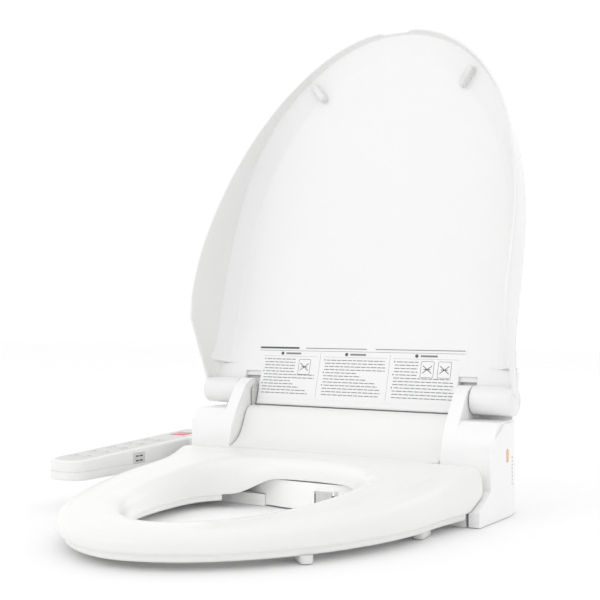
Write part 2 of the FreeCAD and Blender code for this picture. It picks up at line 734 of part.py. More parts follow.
def lid_outer_shell():
    """The lid's outer moulding with its deep skirt and two hinge barrels."""
    wall = D["lid_wall"]
    outer_side = lid_side_points(0) + barrel_arc() + LID_RIM
    outer = lid_prism(0, 0, 170).common(side_prism(outer_side, -REACH, REACH))
    outer = outer.common(lid_front_profile(0))
    hollow_side = lid_side_points(wall)[:-1] + [closed_point(8, -14), closed_point(8, 30)]
    hollow_side += [(-30, 0), (-480, 0)]
    hollow = lid_prism(wall, -5, 170).common(side_prism(hollow_side, -REACH, REACH))
    hollow = hollow.common(lid_front_profile(wall))
    shell = outer.cut(hollow)
    middle = D["panel_half"]
    seat_side_room = sloped(lid_local_block(-158.4, 158.4, -30, 60, -PANEL_LIFT, 60))
    lining = sloped(lid_local_block(-middle, middle, PANEL_REAR - 0.1, 40, -PANEL_LIFT - 2.5, 60))
    shell = shell.cut(seat_side_room).cut(lining)
    for side in (-1, 1):
        left, right = sorted((side * middle, side * 158.4))
        shell = shell.cut(lid_local_block(left, right, -30, NOTCH_LONG, -80, 80))
        left, right = sorted((side * 158.4, side * 206.5))
        barrel = rod(D["barrel_radius"], (left, PIVOT.y, PIVOT.z), (right, PIVOT.y, PIVOT.z))
        shell = shell.fuse(barrel)
        grow = FIT if side < 0 else 0.0
        bore_end = side * 194.4
        bore = rod(D["damper_radius"] + grow, (side * 158, PIVOT.y, PIVOT.z),
                   (bore_end, PIVOT.y, PIVOT.z))
        seat_hole = rod(D["pin_radius"] + FIT, (side * 158, PIVOT.y, PIVOT.z),
                        (side * (PIN_END + 0.6), PIVOT.y, PIVOT.z))
        shell = shell.cut(bore).cut(seat_hole)
    return opened(shell.removeSplitter())


def lid_inner_panel():
    """The flat lining of the lid, a little deeper towards the tip."""
    thick = 2.4
    plate = sloped(lid_local_block(-REACH, REACH, PANEL_REAR, 500, -PANEL_LIFT - thick, -PANEL_LIFT))
    plate = plate.common(lid_prism(D["lid_wall"] + 0.3, 0, 200))
    plate = plate.common(block((-REACH, -461.5, 0), (REACH, 60, 170)))
    for side in (-1, 1):
        left, right = sorted((side * D["panel_half"], side * REACH))
        plate = plate.cut(lid_local_block(left, right, -40, 28.5, -60, 60))
    hollow = lid_prism(D["lid_wall"] + 0.3, -5, 170).common(lid_front_profile(D["lid_wall"] + 0.3))
    inside = lid_side_points(D["lid_wall"] + 0.3) + [closed_point(-16, -13), closed_point(-16, 40)]
    inside += [(-30, 0), (-480, 0)]
    hollow = hollow.common(side_prism(inside, -REACH, REACH))
    return opened(plate.common(hollow))


LID_BUMPER = (110.0, 413.0)  # right-hand bumper: x and distance along the lid
LID_BUMPER_TALL = 10.5


def lid_bumpers():
    """Two oblong bumpers that meet the seat."""
    pads = []
    for side in (-1, 1):
        x, along = LID_BUMPER
        pad = block((-11, -5, 0), (11, 5, LID_BUMPER_TALL))
        pad = rounded(pad, 4.5, upright)
        pad.rotate(Vec(0, 0, 0), Z_AXIS, side * 38)
        pad.rotate(Vec(0, 0, 0), X_AXIS, 180 + 13.0 - PANEL_SLOPE)
        pad.translate(Vec(side * x, *closed_point(along, -PANEL_LIFT - 10.8)))
        pads.append(opened(pad))
    return Part.makeCompound(pads)


def lid_label():
    """Thin printed sheet low on the lining."""
    sheet_thick = 0.3
    label = lid_local_block(-134, 134, -8, 62, -PANEL_LIFT, -PANEL_LIFT + sheet_thick)
    return opened(sloped(label))


solid_part("lid_outer_shell", lid_outer_shell())
solid_part("lid_inner_panel", lid_inner_panel())
solid_part("lid_bumpers", lid_bumpers())
solid_part("lid_label", lid_label())


# ---------------------------------------------------------------- control arm

ARM_RISE = math.radians(D["arm_slope"])
KEY_COLUMNS = 5
KEY_START = 38.0  # from the arm's front end to the middle of the first keys
KEY_TRAVEL = 0.8
KEY_PROUD = 0.5


def arm_top_at(y):
    """Height of the arm's top."""
    return D["arm_top_front"] + (y - D["arm_front"]) * math.tan(ARM_RISE)


def arm_block(shrink, low, drop):
    """The arm's whole outline, smaller all round, with its top lowered."""
    left = D["arm_outer"] + shrink
    right = D["arm_inner"] - shrink
    front = D["arm_front"] + shrink
    rear = D["arm_rear"] - shrink
    body = block((left, front, low), (right, rear, 100))
    body = rounded(body, 24.0 - shrink, lambda e: upright(e) and e.CenterOfMass.y < 0)
    body = rounded(body, 9.0 - shrink, lambda e: upright(e) and e.CenterOfMass.y > 0)
    top = [(-300, low), (-300, arm_top_at(-300) - drop), (100, arm_top_at(100) - drop)]
    return body.common(side_prism(top + [(100, low)], left - 1, right + 1))


def key_frame(column, row):
    """Placement of a key: Z square to the arm's top, Y along the arm."""
    along = KEY_START + column * D["key_pitch"]
    y = D["arm_front"] + along
    middle = (D["arm_outer"] + D["arm_inner"]) / 2
    turn = FreeCAD.Rotation(X_AXIS, D["arm_slope"])
    return FreeCAD.Placement(Vec(middle + row * D["key_row"], y, arm_top_at(y)), turn)


def key_block(grow, low, high, placement):
    """A rounded key outline between two heights over the arm's top."""
    half_wide = D["key_wide"] / 2 + grow
    half_long = D["key_long"] / 2 + grow
    shape = block((-half_wide, -half_long, low), (half_wide, half_long, high))
    shape = rounded(shape, 3.0 + grow, upright)
    shape.Placement = placement
    return shape


def key_places():
    """Every key's name and placement."""
    places = []
    for column in range(KEY_COLUMNS):
        for row, name in ((-1, "outer"), (1, "inner")):
            places.append(("key_%s_%d" % (name, column + 1), key_frame(column, row)))
    return places


STRIP_FRONT = 224.0
STRIP_REAR = 250.0


def strip_block(grow, low, high):
    """The indicator strip near the arm's rear, in the arm's slope."""
    middle = (D["arm_outer"] + D["arm_inner"]) / 2
    shape = block((-12 - grow, STRIP_FRONT - grow, low), (12 + grow, STRIP_REAR + grow, high))
    turn = FreeCAD.Rotation(X_AXIS, D["arm_slope"])
    shape.Placement = FreeCAD.Placement(Vec(middle, D["arm_front"], D["arm_top_front"]), turn)
    return shape


def side_window_block(grow, inside, outside):
    """The dark window on the arm's inner side."""
    right = D["arm_inner"]
    return block((right - inside, -138 - grow, 43 - grow), (right + outside, -115 + grow, 57 + grow))


NECK = ((-219.5, -24, 36), (-196, 30, 66))  # where the arm joins the housing


def arm_neck(low, high):
    """The hollow neck from the arm to the housing, cut to the housing's side."""
    outer = block(*NECK)
    inner = block((NECK[0][0] - 9, NECK[0][1] + 3, NECK[0][2] + 3),
                  (NECK[1][0] + 1, NECK[1][1] - 3, NECK[1][2] - 3))
    neck = outer.cut(inner).cut(housing_block(0.1, 0, 150))
    return neck.common(block((-230, -100, low), (-190, 100, high)))


def arm_lower_case():
    """Tray of the arm, with its half of the neck."""
    split = D["arm_split"]
    wall = D["arm_wall"]
    tray = arm_block(0, D["arm_bottom"], 0).common(block((-300, -300, 0), (-200, 100, split)))
    tray = tray.cut(arm_block(wall, D["arm_bottom"] + wall, 0))
    tray = tray.cut(block((NECK[0][0] - 1, NECK[0][1] + 3, NECK[0][2] + 3), (-200, 27, 63)))
    return tray.fuse(arm_neck(0, split)).cut(side_window_block(0.2, 4, 1)).removeSplitter()


def arm_top_case():
    """Lid of the arm, with an opening for each key and the upper half of the neck."""
    split = D["arm_split"]
    wall = D["arm_wall"]
    cover = arm_block(0, split, 0).cut(arm_block(wall, split - 1, wall))
    for name, placement in key_places():
        cover = cover.cut(key_block(D["key_gap"], -6, 2, placement))
    cover = cover.cut(strip_block(0.1, -1.0, 2))
    cover = cover.cut(block((NECK[0][0] - 1, NECK[0][1] + 3, NECK[0][2] + 3), (-200, 27, 63)))
    return cover.fuse(arm_neck(split, 100)).cut(side_window_block(0.2, 4, 1)).removeSplitter()


def arm_board():
    """Circuit board under the keys, on four posts."""
    top = D["key_tall"] - KEY_PROUD + KEY_TRAVEL + 0.5
    body = arm_block(4.0, D["arm_bottom"], top)
    body = body.cut(arm_block(3.0, 0, top + 1.6)).common(block((-300, -300, 0), (-200, -40, 100)))
    floor = D["arm_bottom"] + D["arm_wall"]
    for x in (-262, -226):
        for y in (-205, -55):
            body = body.fuse(block((x - 2, y - 2, floor), (x + 2, y + 2, arm_top_at(y) - top - 0.8)))
    return body.removeSplitter()


def key_cap(placement):
    """One key."""
    return key_block(0, KEY_PROUD - D["key_tall"], KEY_PROUD, placement)


solid_part("arm_lower_case", arm_lower_case())
solid_part("arm_top_case", arm_top_case())
solid_part("arm_board", arm_board())
solid_part("arm_indicator_strip", strip_block(0, -1.0, 0.15))
solid_part("arm_side_window", side_window_block(0, 2.0, 0.2))
for key_name, key_placement in key_places():
    solid_part(key_name, key_cap(key_placement))


# ---------------------------------------------------------------- nozzle and its drive

NOZZLE_TILT = math.radians(D["nozzle_angle"])
NOZZLE_DOWN = Vec(0, -math.cos(NOZZLE_TILT), -math.sin(NOZZLE_TILT))
NOZZLE_START = Vec(D["nozzle_x"], D["window_y"], D["window_z"]) - NOZZLE_DOWN * D["nozzle_back"]


def nozzle_point(along, over=0.0, across=0.0):
    """A point beside the nozzle: along it from the tip (rearwards), over it and across it."""
    up = Vec(0, -math.sin(NOZZLE_TILT), math.cos(NOZZLE_TILT))
    return NOZZLE_START - NOZZLE_DOWN * along + up * over + Vec(across, 0, 0)


def nozzle_box(along, over, across):
    """A box lined up with the nozzle, from three pairs of limits."""
    corners = [nozzle_point(a, o) for a, o in ((along[0], over[0]), (along[1], over[0]),
                                               (along[1], over[1]), (along[0], over[1]))]
    left = D["nozzle_x"] + across[0]
    right = D["nozzle_x"] + across[1]
    return side_prism([(p.y, p.z) for p in corners], left, right)


def nozzle_tube():
    """Nozzle tube, with a flat rack along its top."""
    radius = D["nozzle_radius"]
    shape = rod(radius, nozzle_point(12), nozzle_point(D["nozzle_long"]))
    rack = nozzle_box((46, D["nozzle_long"] - 2), (radius - 1.5, radius + 1.2), (-2, 2))
    return shape.fuse(rack).cut(rod(2.2, nozzle_point(11), nozzle_point(D["nozzle_long"] + 1)))


def nozzle_tip():
    """Removable tip with its spray hole."""
    radius = D["nozzle_radius"]
    shape = rod(radius, nozzle_point(0), nozzle_point(12))
    shape = rounded(shape, 1.6, lambda e: abs(e.CenterOfMass.sub(nozzle_point(0)).Length) < 0.5)
    spray = rod(0.9, nozzle_point(6, 2), nozzle_point(6, radius + 1))
    return shape.cut(spray)


def nozzle_rail():
    """Guide block with a running bore, on its foot."""
    radius = D["nozzle_radius"]
    shape = nozzle_box((62, 92), (-9, radius + 4.5), (-10, 10))
    shape = shape.cut(rod(radius + FIT, nozzle_point(60), nozzle_point(95)))
    slot = nozzle_box((60, 95), (0, radius + 1.5), (-2.4, 2.4))
    shape = shape.cut(slot)
    well = nozzle_box((69, 87), (radius + 1.4, radius + 10), (-3.2, 3.2))
    shape = shape.cut(well)
    low = nozzle_point(77, -9)
    foot = block((D["nozzle_x"] - 7, low.y - 8, 26), (D["nozzle_x"] + 7, low.y + 6, low.z + 2))
    foot = foot.cut(nozzle_box((50, 110), (-9, 30), (-20, 20)))
    return shape.fuse(foot).removeSplitter()


PINION_RADIUS = 4.5
PINION_TEETH = 12
PINION_MIDDLE = nozzle_point(78, D["nozzle_radius"] + 1.6 + PINION_RADIUS)


def nozzle_pinion():
    """Small gear that drives the rack."""
    left = D["nozzle_x"] - 2.6
    right = D["nozzle_x"] + 2.6
    gear = rod(PINION_RADIUS - 1.4, (left, PINION_MIDDLE.y, PINION_MIDDLE.z),
               (right, PINION_MIDDLE.y, PINION_MIDDLE.z))
    for tooth in range(PINION_TEETH):
        shape = block((left, -0.7, 0), (right, 0.7, PINION_RADIUS))
        shape.rotate(Vec(0, 0, 0), X_AXIS, 360.0 * tooth / PINION_TEETH)
        shape.translate(Vec(0, PINION_MIDDLE.y, PINION_MIDDLE.z))
        gear = gear.fuse(shape)
    bore = rod(1.5 + FIT, (left - 1, PINION_MIDDLE.y, PINION_MIDDLE.z),
               (right + 1, PINION_MIDDLE.y, PINION_MIDDLE.z))
    return gear.cut(bore).removeSplitter()


def nozzle_motor():
    """Stepper motor beside the rail, with its shaft through the pinion."""
    x = D["nozzle_x"]
    y = PINION_MIDDLE.y
    z = PINION_MIDDLE.z
    can = rod(5.4, (x + 10.5, y, z), (x + 26, y, z))
    shaft = rod(1.5, (x - 5.5, y, z), (x + 10.6, y, z))
    return can.fuse(shaft).removeSplitter()


SHUTTER_Y = D["window_y"] - 1.6
SHUTTER_Z = 23.5
SHUTTER_HALF = 10.5


def nozzle_shutter():
    """Flap over the nozzle window, hinged along its top edge."""
    left = D["nozzle_x"] - SHUTTER_HALF
    right = D["nozzle_x"] + SHUTTER_HALF
    plate = block((left, SHUTTER_Y - 1.0, 3.5), (right, SHUTTER_Y + 1.0, SHUTTER_Z))
    knuckle = rod(1.3, (left, SHUTTER_Y, SHUTTER_Z), (right, SHUTTER_Y, SHUTTER_Z))
    pins = rod(0.8, (left - 2.4, SHUTTER_Y, SHUTTER_Z), (right + 2.4, SHUTTER_Y, SHUTTER_Z))
    return plate.fuse(knuckle).fuse(pins).removeSplitter()


solid_part("nozzle_tube", nozzle_tube())
solid_part("nozzle_tip", nozzle_tip())
solid_part("nozzle_rail", nozzle_rail())
solid_part("nozzle_pinion", nozzle_pinion())
solid_part("nozzle_motor", nozzle_motor())
solid_part("nozzle_shutter", nozzle_shutter())


# ---------------------------------------------------------------- water side

FLOOR = D["base_thick"] - 0.1


def water_inlet():
    """Threaded brass inlet through the rear panel."""
    rear = D["housing_rear"]
    seat = rear + INLET_FLANGE
    end = seat + INLET_THREAD
    neck = rod(INLET_NECK, (INLET_X, 58, REAR_Z), (INLET_X, seat, REAR_Z))
    inner_flange = rod(12.6, (INLET_X, 58, REAR_Z), (INLET_X, 62.4, REAR_Z))
    outer_flange = rod(13.0, (INLET_X, rear, REAR_Z), (INLET_X, seat, REAR_Z))
    thread = rod(D["inlet_radius"], (INLET_X, seat, REAR_Z), (INLET_X, end, REAR_Z))
    shape = neck.fuse(inner_flange).fuse(outer_flange).fuse(thread)
    return shape.cut(rod(6.0, (INLET_X, 57, REAR_Z), (INLET_X, end + 1, REAR_Z)))


def cord_gland():
    """Rubber gland with a flange on both sides of the panel."""
    radius = D["cord_radius"]
    rear = D["housing_rear"]
    body = rod(8.0, (GLAND_X, 60, REAR_Z), (GLAND_X, rear + 12, REAR_Z))
    flange = rod(11.0, (GLAND_X, rear, REAR_Z), (GLAND_X, rear + 2.4, REAR_Z))
    flange = flange.fuse(rod(11.0, (GLAND_X, 60, REAR_Z), (GLAND_X, 62.4, REAR_Z)))
    bore = rod(radius, (GLAND_X, 59, REAR_Z), (GLAND_X, rear + 13, REAR_Z))
    return body.fuse(flange).cut(bore)


def solenoid_valve():
    """Valve block behind the inlet, with its coil on top."""
    shape = block((INLET_X - 16, 38.5, FLOOR), (INLET_X + 8, 57.9, 37))
    coil = rod(9.0, (INLET_X - 4, 48, 37), (INLET_X - 4, 48, 62))
    return shape.fuse(coil)


def water_tank():
    """Heated water tank, hollow."""
    outer = rounded(block((-115, 38, FLOOR), (-35, 60, 95)), 4.0, upright)
    inner = block((-112.5, 40.5, FLOOR + 3), (-37.5, 57.5, 92))
    return outer.cut(inner)


def heater_element():
    """Heating rod inside the tank, held by its end."""
    return rod(4.0, (-112.5, 49, 40), (-48, 49, 40))


def water_pump():
    """Pump with its motor, upright on the floor of the housing."""
    shape = block((-166, -22, FLOOR), (-134, 12, 20))
    return shape.fuse(rod(12.0, (-150, -5, 20), (-150, -5, 50)))


def control_board():
    """Upright circuit board with three tall components."""
    shape = block((150, -40, FLOOR), (151.6, 22, 58))
    for y, z, size in ((-28, 30, 9), (-8, 44, 7), (10, 24, 8)):
        shape = shape.fuse(block((151.6, y - size, z - size), (151.6 + size, y + size, z + size)))
    return shape


solid_part("water_inlet", water_inlet())
solid_part("cord_gland", cord_gland())
solid_part("solenoid_valve", solenoid_valve())
solid_part("water_tank", water_tank())
solid_part("heater_element", heater_element())
solid_part("water_pump", water_pump())
solid_part("control_board", control_board())


# ---------------------------------------------------------------- air side

FAN_X = 100.0
FAN_Z = 62.0
FAN_RADIUS = 20.0
FAN_BLADES = 9


def fan_housing():
    """Square fan casing on two legs, open at the front and the rear."""
    low = FAN_Z - 24
    shape = block((FAN_X - 24, 38, low), (FAN_X + 24, 60, FAN_Z + 24))
    shape = shape.cut(rod(FAN_RADIUS + 1, (FAN_X, 40.5, FAN_Z), (FAN_X, 61, FAN_Z)))
    shape = shape.cut(tube(16, 10.5, (FAN_X, 37, FAN_Z), (FAN_X, 41, FAN_Z)))
    spokes = block((FAN_X - 17, 38, FAN_Z - 1.5), (FAN_X + 17, 40.5, FAN_Z + 1.5))
    shape = shape.fuse(spokes)
    for x in (FAN_X - 24, FAN_X + 20):
        shape = shape.fuse(block((x, 38, FLOOR), (x + 4, 60, low)))
    shape = shape.cut(rod(2.0, (FAN_X, 30, FAN_Z), (FAN_X, 45, FAN_Z)))
    return shape.removeSplitter()


def fan_motor():
    """Fan motor in front of the casing, with its shaft."""
    can = rod(11.0, (FAN_X, 25, FAN_Z), (FAN_X, 38, FAN_Z))
    return can.fuse(rod(1.5, (FAN_X, 37, FAN_Z), (FAN_X, 58, FAN_Z))).removeSplitter()


def fan_rotor():
    """Hub and straight blades."""
    hub = rod(7.0, (FAN_X, 42.5, FAN_Z), (FAN_X, 57, FAN_Z))
    for blade in range(FAN_BLADES):
        shape = block((-0.7, 43, 5), (0.7, 56, FAN_RADIUS))
        shape.rotate(Vec(0, 0, 0), Y_AXIS, 360.0 * blade / FAN_BLADES)
        shape.translate(Vec(FAN_X, 0, FAN_Z))
        hub = hub.fuse(shape)
    bore = rod(1.5 + FIT, (FAN_X, 42, FAN_Z), (FAN_X, 58, FAN_Z))
    return hub.cut(bore).removeSplitter()


def air_duct():
    """Flat duct from the fan's floor to the front of the housing."""
    outer = [(-50, 27), (-50, 33), (-26, 42), (37.5, 50), (37.5, 39), (-26, 30)]
    inner = [(-51, 28.5), (-51, 31.3), (-26, 40.3), (38.5, 48.3), (38.5, 40.7), (-26, 31.7)]
    return side_prism(outer, 78, 98).cut(side_prism(inner, 79.6, 96.4))


def filter_cassette():
    """Deodorising filter behind the vent slots."""
    return block((183, 0, 30), (195, 22, 70)).cut(block((185, 2, 32), (196, 20, 68)))


def cover_screws():
    """Four screws that hold the rear panel."""
    screws = []
    rear = D["housing_rear"]
    for x, z in SCREW_PLACES:
        head = rod(3.3, (x, rear, z), (x, rear + 1.6, z))
        shank = rod(1.6, (x, 56, z), (x, rear, z))
        recess = rod(1.2, (x, rear + 0.7, z), (x, rear + 2, z))
        screws.append(head.fuse(shank).cut(recess))
    return Part.makeCompound(screws)


solid_part("fan_housing", fan_housing())
solid_part("fan_motor", fan_motor())
solid_part("fan_rotor", fan_rotor())
solid_part("air_duct", air_duct())
solid_part("filter_cassette", filter_cassette())
solid_part("cover_screws", cover_screws())


# ---------------------------------------------------------------- checks and files

doc.recompute()
for item in doc.Objects:
    if "Invalid" in item.State or "Error" in item.State:
        raise RuntimeError("%s: %s" % (item.Name, item.State))
for item in SUBPARTS:
    shape = item.Shape
    if shape.isNull() or not shape.isValid() or shape.Volume <= 0:
        raise RuntimeError("bad shape: " + item.Label)
for item in SUBPARTS:
    item.Shape.exportStep("parts/%s.step" % item.Label)
print(len(SUBPARTS), "sub-parts written")
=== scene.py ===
import math

import bmesh
import bpy
from mathutils import Euler, Matrix, Vector


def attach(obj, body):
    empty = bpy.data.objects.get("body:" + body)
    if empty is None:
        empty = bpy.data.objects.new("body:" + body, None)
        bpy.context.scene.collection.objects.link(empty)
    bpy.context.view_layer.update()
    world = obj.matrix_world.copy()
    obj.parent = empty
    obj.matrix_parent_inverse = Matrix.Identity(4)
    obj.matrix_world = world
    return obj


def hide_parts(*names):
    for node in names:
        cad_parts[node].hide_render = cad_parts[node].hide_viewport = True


# Electric bidet seat: the surfaces that show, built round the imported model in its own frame.
# Lengths are in millimetres until a mesh is made, and the front of the seat points to -Y.

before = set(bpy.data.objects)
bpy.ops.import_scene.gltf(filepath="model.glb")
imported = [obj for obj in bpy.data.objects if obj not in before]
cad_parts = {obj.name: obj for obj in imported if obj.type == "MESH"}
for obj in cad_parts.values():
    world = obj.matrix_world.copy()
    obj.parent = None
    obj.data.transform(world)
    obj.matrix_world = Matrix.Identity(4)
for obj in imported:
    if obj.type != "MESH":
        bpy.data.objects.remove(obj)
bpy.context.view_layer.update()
MM = 0.001
scene = bpy.context.scene

PIVOT_Y = 12.0
PIVOT_Z = 127.5
OPEN_TURN = math.radians(-117.5)  # from the closed lid to the open one


# ---------------- points and outlines


def smooth_step(low, high, value):
    """0 below low, 1 above high, smooth between."""
    t = min(max((value - low) / (high - low), 0.0), 1.0)
    return t * t * (3 - 2 * t)


def along(table, value):
    """Reads a smooth curve through (key, value) pairs."""
    if value <= table[0][0]:
        return table[0][1]
    if value >= table[-1][0]:
        return table[-1][1]

    def slope(at):
        k0, v0 = table[max(at - 1, 0)]
        k1, v1 = table[min(at + 1, len(table) - 1)]
        return (v1 - v0) / (k1 - k0)

    i = next(i for i in range(len(table) - 1) if value <= table[i + 1][0])
    k0, v0 = table[i]
    k1, v1 = table[i + 1]
    step = k1 - k0
    t = (value - k0) / step
    rise = (2 * t ** 3 - 3 * t ** 2 + 1) * v0 + (3 * t ** 2 - 2 * t ** 3) * v1
    lean = (t ** 3 - 2 * t ** 2 + t) * slope(i) + (t ** 3 - t ** 2) * slope(i + 1)
    return rise + lean * step


def super_point(half, wide, end, power, angle):
    """A point on a superellipse quarter: angle 0 at its widest, a right angle at its end."""
    x = half * max(math.cos(angle), 0.0) ** (2 / power)
    y = wide + (end - wide) * max(math.sin(angle), 0.0) ** (2 / power)
    return x, y


def fillet(corners, radius, steps):
    """Rounds the corners of a closed outline. A corner may carry its own radius third."""
    rounded = []
    count = len(corners)
    for i in range(count):
        here = Vector(corners[i][:2])
        own = corners[i][2] if len(corners[i]) > 2 else radius
        back = Vector(corners[i - 1][:2]) - here
        ahead = Vector(corners[(i + 1) % count][:2]) - here
        turn = back.angle(ahead)
        if own <= 0 or turn > 3.10:
            rounded.append((here.x, here.y))
            continue
        reach = min(own / math.tan(turn / 2), 0.49 * back.length, 0.49 * ahead.length)
        start = here + back.normalized() * reach
        end = here + ahead.normalized() * reach
        for step in range(steps + 1):
            t = step / steps
            point = start * (1 - t) ** 2 + here * 2 * t * (1 - t) + end * t ** 2
            rounded.append((point.x, point.y))
    return rounded


def inset(outline, distance):
    """Moves a closed counter-clockwise outline inwards by one distance."""
    moved = []
    count = len(outline)
    for i in range(count):
        here = Vector(outline[i])
        before = here - Vector(outline[i - 1])
        after = Vector(outline[(i + 1) % count]) - here
        if before.length < 1e-6:
            before = after
        if after.length < 1e-6:
            after = before
        normal = before.normalized() + after.normalized()
        normal = Vector((-normal.y, normal.x)).normalized()
        lean = max(normal.dot(Vector((-before.y, before.x)).normalized()), 0.5)
        moved.append((here.x + normal.x * distance / lean, here.y + normal.y * distance / lean))
    return moved


def counter_clockwise(outline):
    """The same outline, running counter-clockwise."""
    pairs = zip(outline, outline[1:] + outline[:1])
    area = sum(x0 * y1 - x1 * y0 for (x0, y0), (x1, y1) in pairs)
    return list(outline) if area > 0 else list(reversed(outline))


def arc(at, radius, angles):
    """Points round a centre, one for each angle."""
    return [(at[0] + radius * math.cos(t), at[1] + radius * math.sin(t)) for t in angles]


def rectangle(left, right, low, high):
    """Corners of a rectangle, counter-clockwise."""
    return [(left, low), (right, low), (right, high), (left, high)]


def mirrored(right):
    """A closed outline from its right half."""
    return right + [(-x, y) for x, y in reversed(right)]


def oblong(length, width, turn, at, corner=None, steps=6):
    """Rounded rectangle outline, turned and moved."""
    half_x = length / 2
    half_y = width / 2
    radius = min(half_x, half_y) if corner is None else corner
    points = fillet(rectangle(-half_x, half_x, -half_y, half_y), radius, steps)
    cos = math.cos(math.radians(turn))
    sin = math.sin(math.radians(turn))
    return [(at[0] + x * cos - y * sin, at[1] + x * sin + y * cos) for x, y in points]


def circle(radius, at, count):
    """Round outline."""
    return arc(at, radius, [2 * math.pi * i / count for i in range(count)])


# ---------------- meshes


def linked(name, data):
    """A new object in the scene."""
    made = bpy.data.objects.new(name, data)
    scene.collection.objects.link(made)
    return made


CUT, JOIN, KEEP = "DIFFERENCE", "UNION", "INTERSECT"


class Piece:
    """Collects the faces of one piece, in millimetres."""

    def __init__(self):
        self.mesh = bmesh.new()

    def point(self, place):
        return self.mesh.verts.new(Vector(place) * MM)

    def face(self, corners, material=0):
        distinct = list(dict.fromkeys(corners))
        if len(distinct) > 2:
            try:
                self.mesh.faces.new(distinct).material_index = material
            except ValueError:
                pass  # the face is there already

    def grid(self, rows, closed=False, material=0):
        """Joins rows of points with quads. closed joins each row's end to its start."""
        made = [[self.point(p) for p in row] for row in rows]
        self.join(made, closed, material)
        return made

    def join(self, rows, closed=False, material=0):
        """Joins rows of existing points with quads."""
        for upper, lower in zip(rows, rows[1:]):
            count = len(upper)
            for i in range(count if closed else count - 1):
                j = (i + 1) % count
                self.face([upper[i], upper[j], lower[j], lower[i]], material)

    def skin(self, rows, material=0):
        """Joins closed rows of points and caps both ends."""
        made = self.grid(rows, closed=True, material=material)
        self.face(made[0], material)
        self.face(made[-1], material)
        return self

    def prism(self, outline, low, high, axis="Z", edge=0, steps=3, material=0, low_edge=None):
        """A solid over an outline. axis X takes (y, z), Y takes (x, z), Z takes (x, y).

        edge rounds the rim at high, and the one at low too unless low_edge is given.
        """
        ring = counter_clockwise(outline)
        low_edge = edge if low_edge is None else low_edge
        levels = []
        for step in range(steps + 1 if low_edge > 0 else 1):
            angle = 0.5 * math.pi * step / steps
            levels.append((low_edge * (1 - math.sin(angle)), low + low_edge * (1 - math.cos(angle))))
        for step in range(steps + 1 if edge > 0 else 1):
            angle = 0.5 * math.pi * (1 - step / steps)
            levels.append((edge * (1 - math.sin(angle)), high - edge * (1 - math.cos(angle))))
        rows = []
        place = "XYZ".index(axis)
        for shrink, level in levels:
            points = inset(ring, shrink) if shrink > 1e-9 else ring
            rows.append([(*p[:place], level, *p[place:]) for p in points])
        return self.skin(rows, material)

    def rod(self, radius, start, end, segments, edge):
        """A round bar with rounded rims."""
        start = Vector(start)
        end = Vector(end)
        line = end - start
        turn = line.to_track_quat("Z", "Y").to_matrix()
        levels = [(radius - edge, 0), (radius - 0.3 * edge, 0.3 * edge), (radius, edge)]
        levels += [(r, line.length - level) for r, level in reversed(levels)]
        turns = [2 * math.pi * i / segments for i in range(segments)]
        self.skin([[start + turn @ Vector((*spot, level)) for spot in arc((0, 0), size, turns)]
                   for size, level in levels])

    def weld(self, reach):
        """Joins points closer than reach, in metres."""
        bmesh.ops.remove_doubles(self.mesh, verts=self.mesh.verts, dist=reach)

    def data(self, name):
        """The finished mesh."""
        data = bpy.data.meshes.new(name)
        self.mesh.to_mesh(data)
        self.mesh.free()
        return data

    def raw(self):
        """A plain object for boolean work."""
        bmesh.ops.recalc_face_normals(self.mesh, faces=self.mesh.faces)
        return linked("raw", self.data("raw"))

    def carved(self, *steps):
        """This piece after steps of (CUT, JOIN or KEEP, tool)."""
        result = self
        for operation, tool in steps:
            body = result.raw()
            other = tool.raw()
            modify(body, "carve", "BOOLEAN", operation=operation, solver="EXACT", object=other)
            graph = bpy.context.evaluated_depsgraph_get()
            graph.update()
            data = bpy.data.meshes.new_from_object(body.evaluated_get(graph))
            result = Piece()
            result.mesh.from_mesh(data)
            for used in (body, other):
                old = used.data
                bpy.data.objects.remove(used)
                bpy.data.meshes.remove(old)
            bpy.data.meshes.remove(data)
        result.weld(2e-6)
        bmesh.ops.dissolve_limit(result.mesh, angle_limit=math.radians(0.5),
                                 verts=result.mesh.verts, edges=result.mesh.edges)
        return result

    def done(self, name, body, slot, *nodes, materials, smooth=40, place=None):
        """Makes the object, rides it on its body and hides the CAD nodes it stands for.

        Edges under smooth degrees are shaded round.
        """
        self.weld(1e-6)
        bmesh.ops.recalc_face_normals(self.mesh, faces=self.mesh.faces)
        if place is not None:
            self.mesh.transform(place)
        data = self.data(name)
        made = linked(name, data)
        for material in materials:
            data.materials.append(material)
        data.shade_smooth()
        data.set_sharp_from_angle(angle=math.radians(smooth))
        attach(made, body)
        if nodes:
            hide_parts(*nodes)
        return made


def modify(made, name, kind, **settings):
    """Adds a modifier with its settings."""
    step = made.modifiers.new(name, kind)
    for key, value in settings.items():
        setattr(step, key, value)


def soften(made, width):
    """Rounds the sharp edges of a made piece, width in millimetres."""
    modify(made, "soften", "BEVEL", width=width * MM, segments=3, limit_method="ANGLE",
           angle_limit=math.radians(28), harden_normals=True)


def slab(outline, low, high, axis="X"):
    """A prism with plain edges, for boolean work. Along X the outline is a side profile."""
    return Piece().prism(outline, low, high, axis=axis)


def plan(outline, low, high):
    """A plan outline carried up, for boolean work."""
    return slab(outline, low, high, "Z")


def block(low, high):
    """A plain box between two corners, in millimetres."""
    return plan(rectangle(low[0], high[0], low[1], high[1]), low[2], high[2])


# ---------------- materials


def add_node(tree, kind, values=None, sources=None, **settings):
    """A shader node with its settings, its values and its links."""
    made = tree.nodes.new(kind)
    for key, value in settings.items():
        setattr(made, key, value)
    for socket, value in (values or {}).items():
        made.inputs[socket].default_value = value
    for socket, source in (sources or {}).items():
        tree.links.new(source, made.inputs[socket])
    return made


